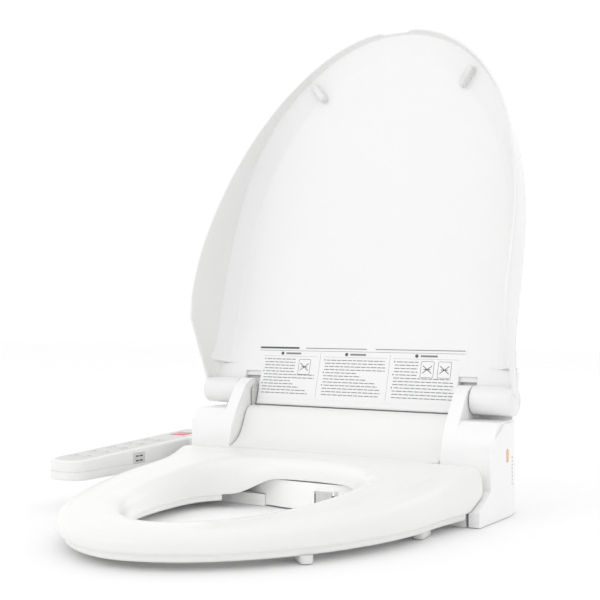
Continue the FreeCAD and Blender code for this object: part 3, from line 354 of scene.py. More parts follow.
class Look:
    """A material whose shader is fed by textures in object coordinates."""

    def __init__(self, name):
        self.material = bpy.data.materials.new(name)
        self.material.use_nodes = True
        self.tree = self.material.node_tree
        self.shader = self.tree.nodes["Principled BSDF"]
        self.place = add_node(self.tree, "ShaderNodeTexCoord").outputs["Object"]

    def feed(self, socket, source):
        self.tree.links.new(source, self.shader.inputs[socket])

    def noise(self, scale, detail, rough=0.5):
        """A noise texture."""
        return add_node(self.tree, "ShaderNodeTexNoise",
                        {"Scale": scale, "Detail": detail, "Roughness": rough},
                        {"Vector": self.place}).outputs["Fac"]

    def colour(self, source, dark, light):
        """A colour that runs between two with a texture."""
        ramp = add_node(self.tree, "ShaderNodeValToRGB", None, {"Fac": source})
        for element, position, shade in zip(ramp.color_ramp.elements, (0.3, 0.7), (dark, light)):
            element.position = position
            element.color = (*shade, 1)
        self.feed("Base Color", ramp.outputs["Color"])

    def gloss(self, source, low, high):
        """A roughness that runs between two with a texture."""
        self.feed("Roughness", add_node(self.tree, "ShaderNodeMapRange",
                                        {"To Min": low, "To Max": high},
                                        {"Value": source}).outputs["Result"])

    def relief(self, height, distance, strength, under=None):
        """Adds fine relief, over an earlier one if there is one."""
        sources = {"Height": height}
        if under is not None:
            sources["Normal"] = under
        made = add_node(self.tree, "ShaderNodeBump", {"Distance": distance, "Strength": strength},
                        sources).outputs["Normal"]
        self.feed("Normal", made)
        return made


def moulded(name, colour, rough, shade=0.012, wave=0.00003, coat=0.15):
    """Injection-moulded plastic: faint flow shading, gloss that varies, orange peel."""
    look = Look(name)
    look.colour(look.noise(6.0, 4.0), [max(c - shade, 0) for c in colour], colour)
    look.gloss(look.noise(38.0, 5.0, 0.6), rough * 0.90, rough * 1.12)
    peel = look.relief(look.noise(420.0, 2.0), 0.00001, 0.35)
    look.relief(look.noise(26.0, 2.0), wave, 0.25, peel)
    look.shader.inputs["Coat Weight"].default_value = coat
    look.shader.inputs["Coat Roughness"].default_value = 0.12
    look.shader.inputs["IOR"].default_value = 1.5
    return look.material


def rubbery(name, colour, rough):
    """Soft matt rubber with a fine grain."""
    look = Look(name)
    fine = look.noise(900.0, 3.0)
    wide = look.noise(60.0, 4.0)
    look.colour(wide, [c * 0.86 for c in colour], colour)
    look.gloss(wide, rough * 0.85, rough * 1.2)
    look.relief(fine, 0.00004, 0.4)
    return look.material


def metallic(name, colour, rough):
    """Brushed metal with streaks."""
    look = Look(name)
    look.place = add_node(look.tree, "ShaderNodeMapping", {"Scale": (1, 1, 40)},
                          {"Vector": look.place}).outputs["Vector"]
    streak = look.noise(180.0, 5.0, 0.65)
    look.colour(streak, [c * 0.8 for c in colour], colour)
    look.gloss(streak, rough * 0.7, rough * 1.4)
    look.relief(streak, 0.00002, 0.3)
    look.shader.inputs["Metallic"].default_value = 1.0
    return look.material


WHITE_LID = moulded("lid_plastic", (0.872, 0.875, 0.871), 0.22)
# Inside of the lid: a matt copy of the lid white, made a little darker. The matt finish is its own; the
# darker tone is painted shade on the inner skirt wall.
WHITE_INSIDE_SHADED = moulded("lid_inside_shaded_plastic", (0.86, 0.862, 0.855), 0.42, coat=0.0)
WHITE_HOUSING = moulded("housing_plastic", (0.93, 0.932, 0.928), 0.34, wave=0.00001, coat=0.0)
WHITE_SEAT = moulded("seat_plastic", (0.885, 0.885, 0.875), 0.24)
WHITE_TRAY = moulded("seat_tray_plastic", (0.94, 0.94, 0.93), 0.38, coat=0.0)
WHITE_ARM = moulded("arm_plastic", (0.89, 0.89, 0.875), 0.30)
ARM_PANEL = moulded("arm_panel_plastic", (0.69, 0.695, 0.685), 0.42, coat=0.0)
KEY_WHITE = moulded("key_plastic", (0.71, 0.715, 0.70), 0.42, coat=0.0)
MARK_GREY = moulded("mark_ink", (0.20, 0.205, 0.21), 0.5, coat=0.0)
SOFT_GREY = rubbery("bumper_rubber", (0.86, 0.86, 0.855), 0.55)
BLACK_RUBBER = rubbery("gland_rubber", (0.03, 0.03, 0.032), 0.55)
SHADOW_PLASTIC = moulded("dark_plastic", (0.022, 0.023, 0.025), 0.48, 0.006, coat=0.0)
# Grey for the core inside the arm's seam: painted shade.
SEAM_SHADOW = moulded("seam_shadow", (0.60, 0.60, 0.59), 0.6, 0.01, coat=0.0)
STEEL = metallic("brushed_steel", (0.62, 0.63, 0.64), 0.3)
BRASS = metallic("machined_brass", (0.72, 0.55, 0.28), 0.26)
AMBER = moulded("amber_lens", (0.83, 0.52, 0.27), 0.18, 0.08)
RED = moulded("red_strip", (0.62, 0.015, 0.02), 0.2, 0.12)
SMOKED = moulded("smoked_window", (0.66, 0.66, 0.65), 0.16, 0.02, coat=0.5)
# The flap's own grey; on the seat's ears the same grey is painted shade in the slits beside the fins.
FLAP_GREY_AND_SLIT_SHADE = moulded("flap_plastic_and_slit_shade", (0.60, 0.60, 0.59), 0.34)
NOZZLE_WHITE = moulded("nozzle_plastic", (0.88, 0.88, 0.87), 0.2)
LABEL_FILM = moulded("label_film", (0.872, 0.875, 0.871), 0.24)
LABEL_INK = moulded("label_ink", (0.10, 0.105, 0.11), 0.45, 0.03, coat=0.0)
LABEL_BAND = moulded("label_band", (0.24, 0.245, 0.25), 0.4, 0.02, coat=0.0)
BOARD = moulded("circuit_board", (0.03, 0.16, 0.07), 0.4, 0.02)
ZINC = metallic("motor_zinc", (0.45, 0.46, 0.47), 0.42)


# ---------------- lid, modelled closed

LID_SLOPE = math.radians(13.0)
PANEL_TILT = math.radians(11.5)  # the lining's own slope when the lid is closed
LID_HALF = 213.0
LID_WIDE = -100.0
LID_TIP = -463.0
LID_POWER = 2.15
LID_WALL = 2.6
SPINE_END = -330.0
KINK_Y = -52.0
REAR_Y = 8.3
REAR_TOP = 143.7  # height of the closed lid's top at its rear
NOTCH_IN = 136.2
NOTCH_OUT = 158.4
NOTCH_ALONG = 16.0
PANEL_REAR = -14.5
SLOT_IN = 135.9  # the lining's own slots round the fins
SLOT_OUT = 158.8
KINK_Z = 47.5
RIM_REAR_Y = 3.0
RIM_REAR_Z = 113.5
RIM = [(-464, 21), (-396, 25), (-155, 27.5), (-87, 35), (KINK_Y, KINK_Z)]
LID_SIDE_X = [0, 24, 48, 72, 96, 118, NOTCH_IN, NOTCH_OUT, 170, 180, 188, 194, 199, 203, 206.5,
              209, 211, 212.2, 212.8, LID_HALF]

CLOSED_TO_OPEN = (Matrix.Translation(Vector((0, PIVOT_Y, PIVOT_Z)) * MM)
                  @ Matrix.Rotation(OPEN_TURN, 4, "X")
                  @ Matrix.Translation(Vector((0, -PIVOT_Y, -PIVOT_Z)) * MM))


def closed_point(run, under):
    """Distance along the closed lid and below its hinge plane, as (y, z)."""
    y = PIVOT_Y - run * math.cos(LID_SLOPE) + under * math.sin(LID_SLOPE)
    z = PIVOT_Z - run * math.sin(LID_SLOPE) - under * math.cos(LID_SLOPE)
    return y, z


LINING_REAR = closed_point(PANEL_REAR, -3.0)


def lid_run(y, z):
    """Distance of a closed (y, z) along the lid from its hinge."""
    return -(y - PIVOT_Y) * math.cos(LID_SLOPE) - (z - PIVOT_Z) * math.sin(LID_SLOPE)


def panel_matrix():
    """From the lining's own plane (x, towards the tip, towards the seat) to the open lid."""
    tip = Vector((0, -math.cos(PANEL_TILT), -math.sin(PANEL_TILT)))
    out = Vector((0, math.sin(PANEL_TILT), -math.cos(PANEL_TILT)))
    base = Vector((0, *LINING_REAR))
    turn = Matrix(((1, 0, 0), (0, tip.y, out.y), (0, tip.z, out.z))).to_4x4()
    return CLOSED_TO_OPEN @ Matrix.Translation(base * MM) @ turn


def lid_lines():
    """Rim point and spine point of each line over the lid's right half, rear to tip."""
    lines = []
    for y in (REAR_Y, 5, 2, -2, -6, -9.9, -11.4, -16, -22, -28, -34, -40, -46, KINK_Y, -58, -66,
              -76, -88):
        half = LID_HALF - 3.6 * smooth_step(-70, 10, y)
        lines.append((half, y, y, 0.0))
    steps = 46
    for step in range(steps + 1):
        angle = 0.5 * math.pi * (step / steps) ** 0.9
        x, y = super_point(LID_HALF, LID_WIDE, LID_TIP, LID_POWER, angle)
        spine = LID_WIDE + (SPINE_END - LID_WIDE) * math.sin(angle)
        lines.append((x, y, spine, math.sin(angle)))
    return lines


def lid_rim_height(x, y):
    """Height of the closed lid's rim, with a finger hollow at the tip."""
    if y >= RIM_REAR_Y:
        return RIM_REAR_Z
    if y > KINK_Y:
        return KINK_Z + (y - KINK_Y) * (RIM_REAR_Z - KINK_Z) / (RIM_REAR_Y - KINK_Y)
    hollow = 5.0 * (1 - smooth_step(16, 25, abs(x))) if y < -440 else 0.0
    return along(RIM, y) + hollow


def lid_top_plane(y):
    """Height of the closed lid's top line before its edges fall away."""
    return along([(-470, 55), (-337, 82.9), (-239, 105.4), (-141, 124.0), (-62, 135.1),
                  (-12, 141.0), (REAR_Y, REAR_TOP)], y)


def dome_power(front):
    """How square the dome's section is: 0 along the sides, 1 at the tip."""
    return 4.8 - 2.6 * front ** 2


def lid_surface(line, share):
    """A point on the lid's outside: share 0 on the spine, 1 on the rim."""
    rim_x, rim_y, spine_y, front = line
    edge = smooth_step(0.74, 1.0, share)
    x_wide = share * LID_HALF * (1 - edge) + share * rim_x * edge
    x = share * rim_x if front > 0 else x_wide
    y = spine_y + (rim_y - spine_y) * share
    low = lid_rim_height(rim_x, rim_y)
    high = lid_top_plane(y)
    power = dome_power(front)
    z = low + (high - low) * max(1 - share ** power, 0.0) ** (1 / power)
    return x, y, z


def lid_skirt_shares(line):
    """Extra shares down the skirt, between the last column and the rim."""
    power = dome_power(line[3])
    return [max(1 - drop ** power, 0.0) ** (1 / power) for drop in (0.42, 0.30, 0.19, 0.09, 0.0)]


def lid_outer():
    """Dome of the lid with its skirt, notched round the fins."""
    piece = Piece()
    lines = lid_lines()
    steep = [x / LID_HALF for x in LID_SIDE_X if x < 206]
    for side in (-1, 1):
        made = []
        for line in lines:
            spots = [lid_surface(line, share) for share in steep + lid_skirt_shares(line)]
            made.append([piece.point((side * x, y, z)) for x, y, z in spots])
        inner = steep.index(NOTCH_IN / LID_HALF)
        for upper, lower in zip(made, made[1:]):
            for i in range(len(upper) - 1):
                y = 0.5 * (upper[i].co.y + lower[i].co.y) / MM
                z = 0.5 * (upper[i].co.z + lower[i].co.z) / MM
                in_notch = i == inner and lid_run(y, z) < NOTCH_ALONG
                if not in_notch:
                    piece.face([upper[i], upper[i + 1], lower[i + 1], lower[i]])
        roll = [made[0][:inner + 1]]
        radius = math.hypot(REAR_Y - PIVOT_Y, REAR_TOP - PIVOT_Z)
        start = math.atan2(REAR_TOP - PIVOT_Z, REAR_Y - PIVOT_Y)
        turns = [start - step * math.radians(79) / 10 for step in range(1, 11)]
        for y, z in arc((PIVOT_Y, PIVOT_Z), radius, turns):
            roll.append([piece.point((side * x, y, z)) for x in LID_SIDE_X[:inner + 1]])
        piece.join(roll)
    piece.weld(0.00005)
    shell = piece.done("lid_dome", "lid", "lid_white", "lid_outer_shell",
                       materials=[WHITE_LID, WHITE_INSIDE_SHADED], place=CLOSED_TO_OPEN)
    # The wall's inner side takes the second, darker material: painted shade.
    modify(shell, "wall", "SOLIDIFY", thickness=LID_WALL * MM, offset=-1.0, material_offset=1,
           use_quality_normals=True)
    modify(shell, "rim", "BEVEL", width=0.7 * MM, segments=2, limit_method="ANGLE",
           angle_limit=math.radians(50))


def lining_place(y, z):
    """Distance of a closed point along the lining, and its height towards the seat."""
    base_y, base_z = LINING_REAR
    run = -(y - base_y) * math.cos(PANEL_TILT) - (z - base_z) * math.sin(PANEL_TILT)
    return run, (y - base_y) * math.sin(PANEL_TILT) - (z - base_z) * math.cos(PANEL_TILT)


# Band between the skirt and the flat lining: share of its height, and distance in from the skirt.
BAND = [(1.0, 0.0), (0.985, 0.5), (0.955, 1.6), (0.58, 9.5), (0.20, 17.5), (0.07, 20.6), (0.02, 23.0),
        (0.0, 26.0)]


def lid_lining():
    """Flat lining with a sloping band up to the skirt all round."""
    piece = Piece()
    for side in (-1, 1):
        rows = []
        for line in lid_lines():
            if line[1] > -19:
                continue
            front = line[3]
            band = 17.0 - 9.5 * smooth_step(0.55, 1.0, front)
            spread = 1 + 0.5 * smooth_step(0.40, 1.0, front)
            band = min(band, lining_place(*lid_surface(line, 1.0)[1:])[1] - 2.0)
            low, high = 0.4, 1.0
            for _ in range(40):  # halves the range until the dome meets the band's top
                share = 0.5 * (low + high)
                if lining_place(*lid_surface(line, share)[1:])[1] < band:
                    low = share
                else:
                    high = share
            x, y, z = lid_surface(line, share)
            spot = Vector((x, lining_place(y, z)[0]))
            spine_y = line[2]
            spine_z = PIVOT_Z - 0.2 * (PIVOT_Y - spine_y)
            target = Vector((0.0, lining_place(spine_y, spine_z)[0]))
            inward = (target - spot).normalized()
            edge = spot + inward * (LID_WALL - 0.3)
            row = [(edge + inward * reach * spread, lift * band) for lift, reach in BAND]
            last = row[-1][0]
            row += [(last.lerp(target, step / 8), 0.0) for step in range(1, 9)]
            rows.append([(side * place.x, place.y, height) for place, height in row])
        rows.insert(0, [(x, y - 0.3, 0.0) for x, y, z in rows[0]])
        piece.grid(rows)
    piece.weld(0.00005)
    right = [(SLOT_IN, 0.6), (SLOT_IN, 42.0), (SLOT_OUT, 42.0), (SLOT_OUT, 14.0), (205.0, 14.0),
             (205.0, 51.0), (172.0, 51.0), (172.0, 62.0)]
    piece.prism(fillet(mirrored(right), 1.2, 4), -9.0, 0.02)
    for left, far in ((SLOT_IN, SLOT_OUT), (-SLOT_OUT, -SLOT_IN)):
        piece.prism(rectangle(left, far, 36.5, 44.0), -9.5, -3.2)
    piece.done("lid_lining", "lid", "lid_white", "lid_inner_panel", materials=[WHITE_LID], smooth=50,
               place=panel_matrix())


lid_outer()
lid_lining()


BARREL_RADIUS = 16.6
BARREL_REACH = (158.6, 208.6)  # along the hinge, to each side of the middle
STOP_X = 105.5
STOP_ALONG = 424  # from the lining's rear edge


def lid_fittings():
    """Hinge barrels and bumpers."""
    barrels = Piece()
    for side in (-1, 1):
        start, end = [(side * x, PIVOT_Y, PIVOT_Z) for x in BARREL_REACH]
        barrels.rod(BARREL_RADIUS, start, end, segments=72, edge=2.0)
    barrels.done("lid_barrels", "lid", "lid_white", materials=[WHITE_LID], smooth=50)
    stops = Piece()
    for side in (-1, 1):
        outline = oblong(27, 9.5, side * 50, (side * STOP_X, STOP_ALONG))
        stops.prism(outline, 0.2, 14.0, edge=2.4, steps=4, low_edge=0)
    for vert in stops.mesh.verts:
        outward = (abs(vert.co.x) / MM - STOP_X) * 0.64 + (vert.co.y / MM - STOP_ALONG) * 0.77
        vert.co.z *= 1 + 0.022 * outward
    stops.done("lid_stops", "lid", "soft_grey", "lid_bumpers", materials=[SOFT_GREY],
               place=panel_matrix())


INK = 0.24  # top of the label's film, and of each layer printed on it
INK_TOP = 0.28
PAPER_TOP = 0.30
LINES_TOP = 0.33


def strip(piece, left, right, low, high, material):
    """Thin flat bar printed on the label."""
    piece.prism(rectangle(left, right, low, high), INK, INK + 0.04, material=material)


LABEL_HALF = 135.4
LABEL_WIDE = 144.0  # above the notches for the fins
LABEL_LOW = 6.5
LABEL_HIGH = 76.5
LINE_PITCH = 4.0


def lid_label():
    """Printed film: a heading, three columns of plain bars and three abstract pictures."""
    film = Piece()
    right = [(LABEL_HALF, LABEL_LOW), (LABEL_HALF, 52.0), (LABEL_WIDE, 52.0), (LABEL_WIDE, LABEL_HIGH)]
    film.prism(fillet(mirrored(right), 1.5, 4), 0.05, INK)
    for bar in ((-142, -84, 71.2, 73.6, 1), (-74, 12, 71.8, 72.9, 2), (24, 141, 71.8, 72.9, 2),
                (-142, 142, 68.6, 69.0, 1)):
        strip(film, *bar)
    columns = [(-134.5, -56, (-84, 52)), (-47, 41, None), (49, 134.5, (86, 53))]
    lengths = (0.94, 0.99, 0.86, 0.97, 0.62, 0.95, 0.99, 0.9, 0.98, 0.72, 0.93, 0.55)
    for number, (left, right, picture) in enumerate(columns):
        middle = 0.5 * (left + right)
        film.prism(circle(2.2, (middle - 12, 65.2), 20), INK, INK_TOP, material=1)
        strip(film, middle - 7, middle + 15, 64.0, 66.4, 2)
        strip(film, left, right, 61.4, 61.65, 2)
        for row in range(12):
            level = 57.0 - row * LINE_PITCH
            share = lengths[(row * 5 + number * 3) % 12]
            end = left + (right - left) * share
            if picture and level > 40:
                end = min(end, picture[0] - 3)
            start = left + 3.2
            if row % 4 == 0:
                start = left + 5.4
                film.prism(circle(0.9, (left + 2.4, level + 0.7), 14), INK, INK_TOP, material=1)
            word = start
            step = 0
            while word < end:
                size = (6.5, 4.2, 8.0, 5.2, 7.1)[(step + row + number) % 5]
                strip(film, word, min(word + size, end), level, level + 1.1, 2)
                word += size + 1.1
                step += 1
        if picture:
            shown = (picture[0], picture[0] + 22) if number == 2 else (picture[0] + 2,)
            for spot in shown:
                ring = oblong(17, 20, 0, (spot + 9, picture[1] - 4), 2.0)
                film.prism(ring, INK, INK_TOP, material=1)
                film.prism(inset(counter_clockwise(ring), 0.5), INK_TOP, PAPER_TOP)
                for turn, size in ((38, 15), (-38, 15), (0, 9)):
                    bar = oblong(size, 0.9, turn, (spot + 9, picture[1] - 4))
                    film.prism(bar, PAPER_TOP, LINES_TOP, material=1)
    for x in (-51.5, 45):
        strip(film, x - 0.15, x + 0.15, LABEL_LOW + 3, 66.5, 2)
    film.done("label_sheet", "lid", "label_print", "lid_label",
              materials=[LABEL_FILM, LABEL_INK, LABEL_BAND], smooth=32, place=panel_matrix())


lid_fittings()
lid_label()


# ---------------- seat, modelled lowered

SEAT_HALF = 191.3
SEAT_WIDE = -171.5
SEAT_TIP = -456.2
SEAT_POWER = 1.82
SEAT_REAR = -58.5
HOLE_HALF = 108.0
HOLE_WIDE = -175.0
HOLE_FRONT = -388.0
HOLE_REAR = -92.0
HUMP_HALF = 140.5
WING_HALF = 200.0
WING_END = 191.0
WING_Y = -67.5
SEAT_CREST = [(-456, 33.5), (-425, 34.8), (-350, 38.5), (-265, 43.5), (-165, 52.0), (-90, 59.0),
              (-60, 61.5)]
HUMP_TOP = [(-70, 58.5), (-64, 60.7), (-58.5, 61.6), (-44.3, 62.6), (-34, 66.5), (-24.1, 74),
            (-17.5, 83.5), (-12.7, 93), (-8.5, 102), (-4, 107), (1, 109.4), (6, 110)]


def seat_outer(u):
    """Right half of the seat's outline: 0 at the tip, 1 at the middle of the rear."""
    if u <= 0.5:
        return super_point(SEAT_HALF, SEAT_WIDE, SEAT_TIP, SEAT_POWER, 0.5 * math.pi * (1 - 2 * u))
    if u <= 0.66:
        t = (u - 0.5) / 0.16
        return SEAT_HALF + (WING_HALF - SEAT_HALF) * t * t, SEAT_WIDE + t * (WING_Y - SEAT_WIDE)
    if u <= 0.70:
        t = (u - 0.66) / 0.04
        x = WING_HALF * (1 - t * t) + WING_END * t * t
        y = WING_Y * (1 - t) ** 2 + SEAT_REAR * (2 * t * (1 - t) + t * t)
        return x, y
    if u <= 0.80:
        return WING_END + (u - 0.70) / 0.10 * (HUMP_HALF - WING_END), SEAT_REAR
    return HUMP_HALF * (1 - (u - 0.80) / 0.20), SEAT_REAR


def seat_inner(u):
    """The matching point of the opening's outline."""
    if u <= 0.5:
        return super_point(HOLE_HALF, HOLE_WIDE, HOLE_FRONT, 2.0, 0.5 * math.pi * (1 - 2 * u))
    turn = along([(0.5, 0.0), (0.68, 0.5), (0.80, 0.645), (1.0, 1.0)], u)
    return super_point(HOLE_HALF, HOLE_WIDE, HOLE_REAR, 2.3, 0.5 * math.pi * turn)


def seat_steps():
    """Places round the seat where a section is taken."""
    steps = []
    for start, length, count in ((0, 0.5, 44), (0.5, 0.16, 10), (0.66, 0.04, 6), (0.70, 0.10, 8),
                                 (0.80, 0.20, 16)):
        steps += [start + length * i / count for i in range(count)]
    return steps + [1.0]


def seat_across(u):
    """Outer point, inner point, direction inwards and width of the seat at one place."""
    out = Vector(seat_outer(u))
    into = Vector(seat_inner(u))
    return out, into, (into - out).normalized(), (into - out).length


def seat_section(u, side):
    """One closed section of the upper shell, from its outer rim over the top to the opening."""
    out, into, way, width = seat_across(u)
    soft = 30.0 - 23.0 * smooth_step(0.56, 0.69, u)
    flat = smooth_step(0.775, 0.80, u)
    low = 15.5 + 24.5 * smooth_step(0.80, 0.86, u)
    if 0.5 < u < 0.78:
        over_foot = 17.6 + (out.y + 87) * 0.576
        low = max(low, 15.5 + (over_foot - 15.5) * (1 - smooth_step(0.71, 0.76, u)))
    base = max(23.5, low + 5)
    arch = 16.0
    if u > 0.5:
        arch = max(34.4 - 18.4 * smooth_step(45, 95, abs(side * into.x - 6)), arch)

    def spot(reach, z):
        place = out + way * reach
        return (side * place.x, place.y, z)

    def crest(reach):
        return along(SEAT_CREST, (out + way * reach).y)

    row = [spot(3.4, low), spot(1.6, low), spot(0.5, low + 1.1), spot(0.0, low + 3.4), spot(0.0, base)]
    for share in (0.006, 0.025, 0.06, 0.12, 0.2, 0.32, 0.48, 0.68, 0.88):
        reach = soft * share
        rise = (1 - (1 - share) ** 2.3) ** (1 / 2.3)
        rise = rise + (1 - rise) * flat
        row.append(spot(reach, base + (crest(reach) - base) * rise))
    for share in (0.0, 0.2, 0.4, 0.6, 0.8):
        reach = soft + 2 + (width - 20.0 - soft - 2) * share
        row.append(spot(reach, crest(reach)))
    for left, drop in ((20, 0.2), (12, 0.8), (6, 2.4), (2.4, 5.2), (0.6, 9.0), (0.0, 14.0)):
        row.append(spot(width - left, crest(width - left) - drop))
    row += [spot(width, arch + 2.0), spot(width - 0.8, arch), spot(width - 3.0, arch + 0.6)]
    under = low + 2.0
    for share in (0.25, 0.5, 0.75):
        reach = width - 3.0 - (width - 9.0) * share
        row.append(spot(reach, arch + 0.6 + (under - arch - 0.6) * share))
    return row + [spot(6.0, under)]


def seat_upper():
    """Ring of the seat, with the hump over its hinge."""
    piece = Piece()
    steps = seat_steps()
    rows = [seat_section(u, 1) for u in steps]
    rows += [seat_section(u, -1) for u in reversed(steps[1:-1])]
    made = piece.grid(rows, closed=True)
    piece.join([made[-1], made[0]], closed=True)
    outline = [(y, along(HUMP_TOP, y)) for y in [-70 + 76 * i / 44 for i in range(45)]]
    outline += [(9.0, 109.6), (10, 108.0), (10, 84), (2, 76), (-12, 63), (-30, 53), (-57.5, 41),
                (-66, 42)]
    piece.prism(outline, -HUMP_HALF, HUMP_HALF, axis="X", edge=2.4, steps=4)
    piece.done("seat_top", "seat", "seat_white", "seat_upper_shell", materials=[WHITE_SEAT], smooth=38)


def seat_tray():
    """Recessed lower shell under the ring."""
    piece = Piece()
    steps = [u for u in seat_steps() if u < 0.63]
    places = [(-1, u) for u in reversed(steps[1:])] + [(1, u) for u in steps]
    rows = []
    for side, u in places:
        out, into, way, width = seat_across(u)
        row = []
        for reach, z in ((6.0, 17.2), (6.0, 11.0), (6.6, 9.2), (8.0, 7.9), (10.0, 7.5),
                         (width - 9.5, 7.5), (width - 7.5, 7.9), (width - 6.1, 9.2),
                         (width - 5.5, 11.0), (width - 5.5, 17.2)):
            place = out + way * reach
            row.append((side * place.x, place.y, z))
        rows.append(row)
    piece.skin(rows)
    piece.done("seat_tray", "seat", "seat_white", "seat_lower_shell", materials=[WHITE_TRAY], smooth=32)
    feet = Piece()
    for side in (-1, 1):
        for x, y, turn in ((137, -330, -42), (178, -163, -82)):
            pad = oblong(30, 13, side * turn, (side * (x - 4), y))
            feet.prism(pad, 0.1, 8.2, edge=0.4, steps=3, low_edge=2.6)
    feet.done("seat_pads", "seat", "soft_grey", "seat_bumpers", materials=[SOFT_GREY], smooth=32)


seat_upper()
seat_tray()


# ---------------- housing

HOUSING_HALF = 202.6
SIDE_HALF = 205.2
FIN_INNER = 141.6
FIN_OUTER = 157.5
FIN_RADIUS = 16.2
HOUSING_WALL = 2.5
SHOULDER = [(-54, 3), (-54, 40), (-50, 52), (-44, 62), (-39, 85), (-30, 101), (-23, 106),
            (33, 106), (35, 133), (38, 136), (48, 136), (65, 122), (65, 3)]
FIN_FRONT = [(-54, 3), (-54, 40), (-50, 52), (-43.8, 62), (-41.5, 74), (-39, 85), (-30, 101.8),
             (-18.6, 118.6), (-9.5, 131), (-4.2, 137.4)]
DECK = [(-54, 36), (-30, 48), (-12, 58), (2, 68), (14, 71), (17, 98), (19, 106), (31, 107)]
CHEEK = [(-87, 0.5), (-87, 16), (-54, 35), (-54, 79), (-12.4, 104), (34, 104), (34, 0.5)]
VENT_PITCH = 4.2
LEFT_SLANT_LOW = 36
REACH = 230.0


def housing_plan(grow):
    """Outline of the housing seen from above."""
    half = HOUSING_HALF + grow
    rear = 65.0 + min(grow, 0.0)
    right = [(half, -54.0 - grow), (half, -8.0), (half - 0.8, 6), (half - 3.0, 20.0),
             (half - 8.5, 44.0), (half - 15.0, 57.0), (half - 24.0, rear)]
    return mirrored(right)


def corner_slant(side, low):
    """What the slant takes off one front corner, from a level upwards."""
    return plan([(side * 190, -60), (side * 210, -60), (side * 210, -34), (side * 204, -34)], low, 150)


def fin_profile():
    """Side outline of one hinge fin with its round top."""
    top = arc((PIVOT_Y, PIVOT_Z), FIN_RADIUS, [math.radians(128 - i * 118 / 16) for i in range(17)])
    return FIN_FRONT + top + [(28.2, 118), (28.2, 100), (28.2, 60), (-20, 3)]


def housing_shell():
    """The main moulding: shoulders, fins, deck and rear wall, open underneath."""
    inner_side = [(-51.5, -5), (-51.5, 41), (-47, 54), (-41.5, 63), (-36.5, 84), (-28, 99),
                  (-22, 103.5), (35.5, 103.5), (37.5, 133), (47, 133.5), (62.4, 121), (62.4, -5)]
    well_side = DECK + [(31, 160), (-90, 160), (-90, 36)]
    under_deck = [(y, z - HOUSING_WALL) for y, z in DECK[:-2]]
    under_deck += [(21.5, 103), (38.5, 104), (38.5, 160), (-90, 160), (-90, 33.5)]
    room = plan(housing_plan(-HOUSING_WALL), -5, 150).carved(
        (KEEP, slab(inner_side, -REACH, REACH)),
        (CUT, slab(under_deck, -FIN_INNER - HOUSING_WALL, FIN_INNER + HOUSING_WALL)))
    shell = plan(housing_plan(0), 3, 150).carved(
        (KEEP, slab(SHOULDER, -REACH, REACH)),
        (CUT, slab(well_side, -FIN_INNER, FIN_INNER)),
        (JOIN, slab(fin_profile(), FIN_INNER, FIN_OUTER)),
        (JOIN, slab(fin_profile(), -FIN_OUTER, -FIN_INNER)),
        (CUT, room),
        (CUT, corner_slant(1, 79)),
        (CUT, corner_slant(-1, LEFT_SLANT_LOW)),
        (CUT, block((-169.6, 60, 2), (169.6, 70, 99.6))),
        (CUT, block((-60, -60, 2), (66, -50, 34))),
        (CUT, block((-REACH, -20, 40), (-195, 26, 62))),
        (CUT, block((-REACH, -9.5, 9.5), (-190, 17.5, 22.5))),
        (CUT, slab(circle(5.2, (PIVOT_Y, PIVOT_Z), 32), -160, 160)))
    made = shell.done("housing_body", "housing", "housing_white", "housing_cover",
                      materials=[WHITE_HOUSING], smooth=30)
    soften(made, 1.1)


def cheek(side):
    """Skin of one side of the housing, with its foot."""
    low, high = sorted((side * 190, side * 210))
    foot_low, foot_high = sorted((side * 193.0, side * SIDE_HALF))
    room_low, room_high = sorted((side * 196.0, side * (SIDE_HALF - 2.5)))
    return plan(housing_plan(SIDE_HALF - HOUSING_HALF), 0.5, 110).carved(
        (CUT, plan(housing_plan(0.1), 0, 111)),
        (JOIN, block((foot_low, -87, 0.5), (foot_high, -54.1, 40)).carved(
            (CUT, block((room_low, -84.5, -1), (room_high, -50, 13))))),
        (KEEP, slab(CHEEK, low, high)))


def lamp_outline(grow):
    """Upright oblong of the lamp window, as (y, z)."""
    return oblong(15.0 + 2 * grow, 7.2 + 2 * grow, 90, (-5.0, 68.6), None, 8)


def side_covers():
    """Both side covers, the vents, the lamp and the release button."""
    vents = [(CUT, block((190, 12.0, low), (215, 17.5, low + 2.4)))
             for low in [34.0 + number * VENT_PITCH for number in range(8)]]
    window = (CUT, slab(lamp_outline(0.3), 190, 215))
    openings = [(CUT, block((-215, -9.3, 9.7), (-190, 17.3, 22.3))),
                (CUT, block((-215, -24.3, 35.7), (-190, 30.3, 66.3))),
                (CUT, corner_slant(-1, LEFT_SLANT_LOW))]
    for name, side, cuts in (("right", 1, [*vents, window]), ("left", -1, openings)):
        made = cheek(side).carved(*cuts).done(
            name + "_cheek", "housing", "housing_white", name + "_side_cover",
            materials=[WHITE_HOUSING], smooth=30)
        soften(made, 0.7)
    lens = Piece()
    lens.prism(lamp_outline(0), HOUSING_HALF + 0.06, SIDE_HALF + 0.3, axis="X", edge=0.8, low_edge=0)
    lens.done("lamp_window", "housing", "amber_lens", "lamp_lens", materials=[AMBER])
    button = Piece()
    button.prism(oblong(26, 12, 0, (4.0, 16.0), 2.2), -206.5, -196.0, axis="X", low_edge=0.9)
    for level in (-2.4, 0, 2.4):
        button.prism(oblong(14, 0.9, 0, (4.0, 16.0 + level)), -206.6, -206.3, axis="X")
    button.done("release_key", "release", "housing_white", "release_button", materials=[WHITE_HOUSING])


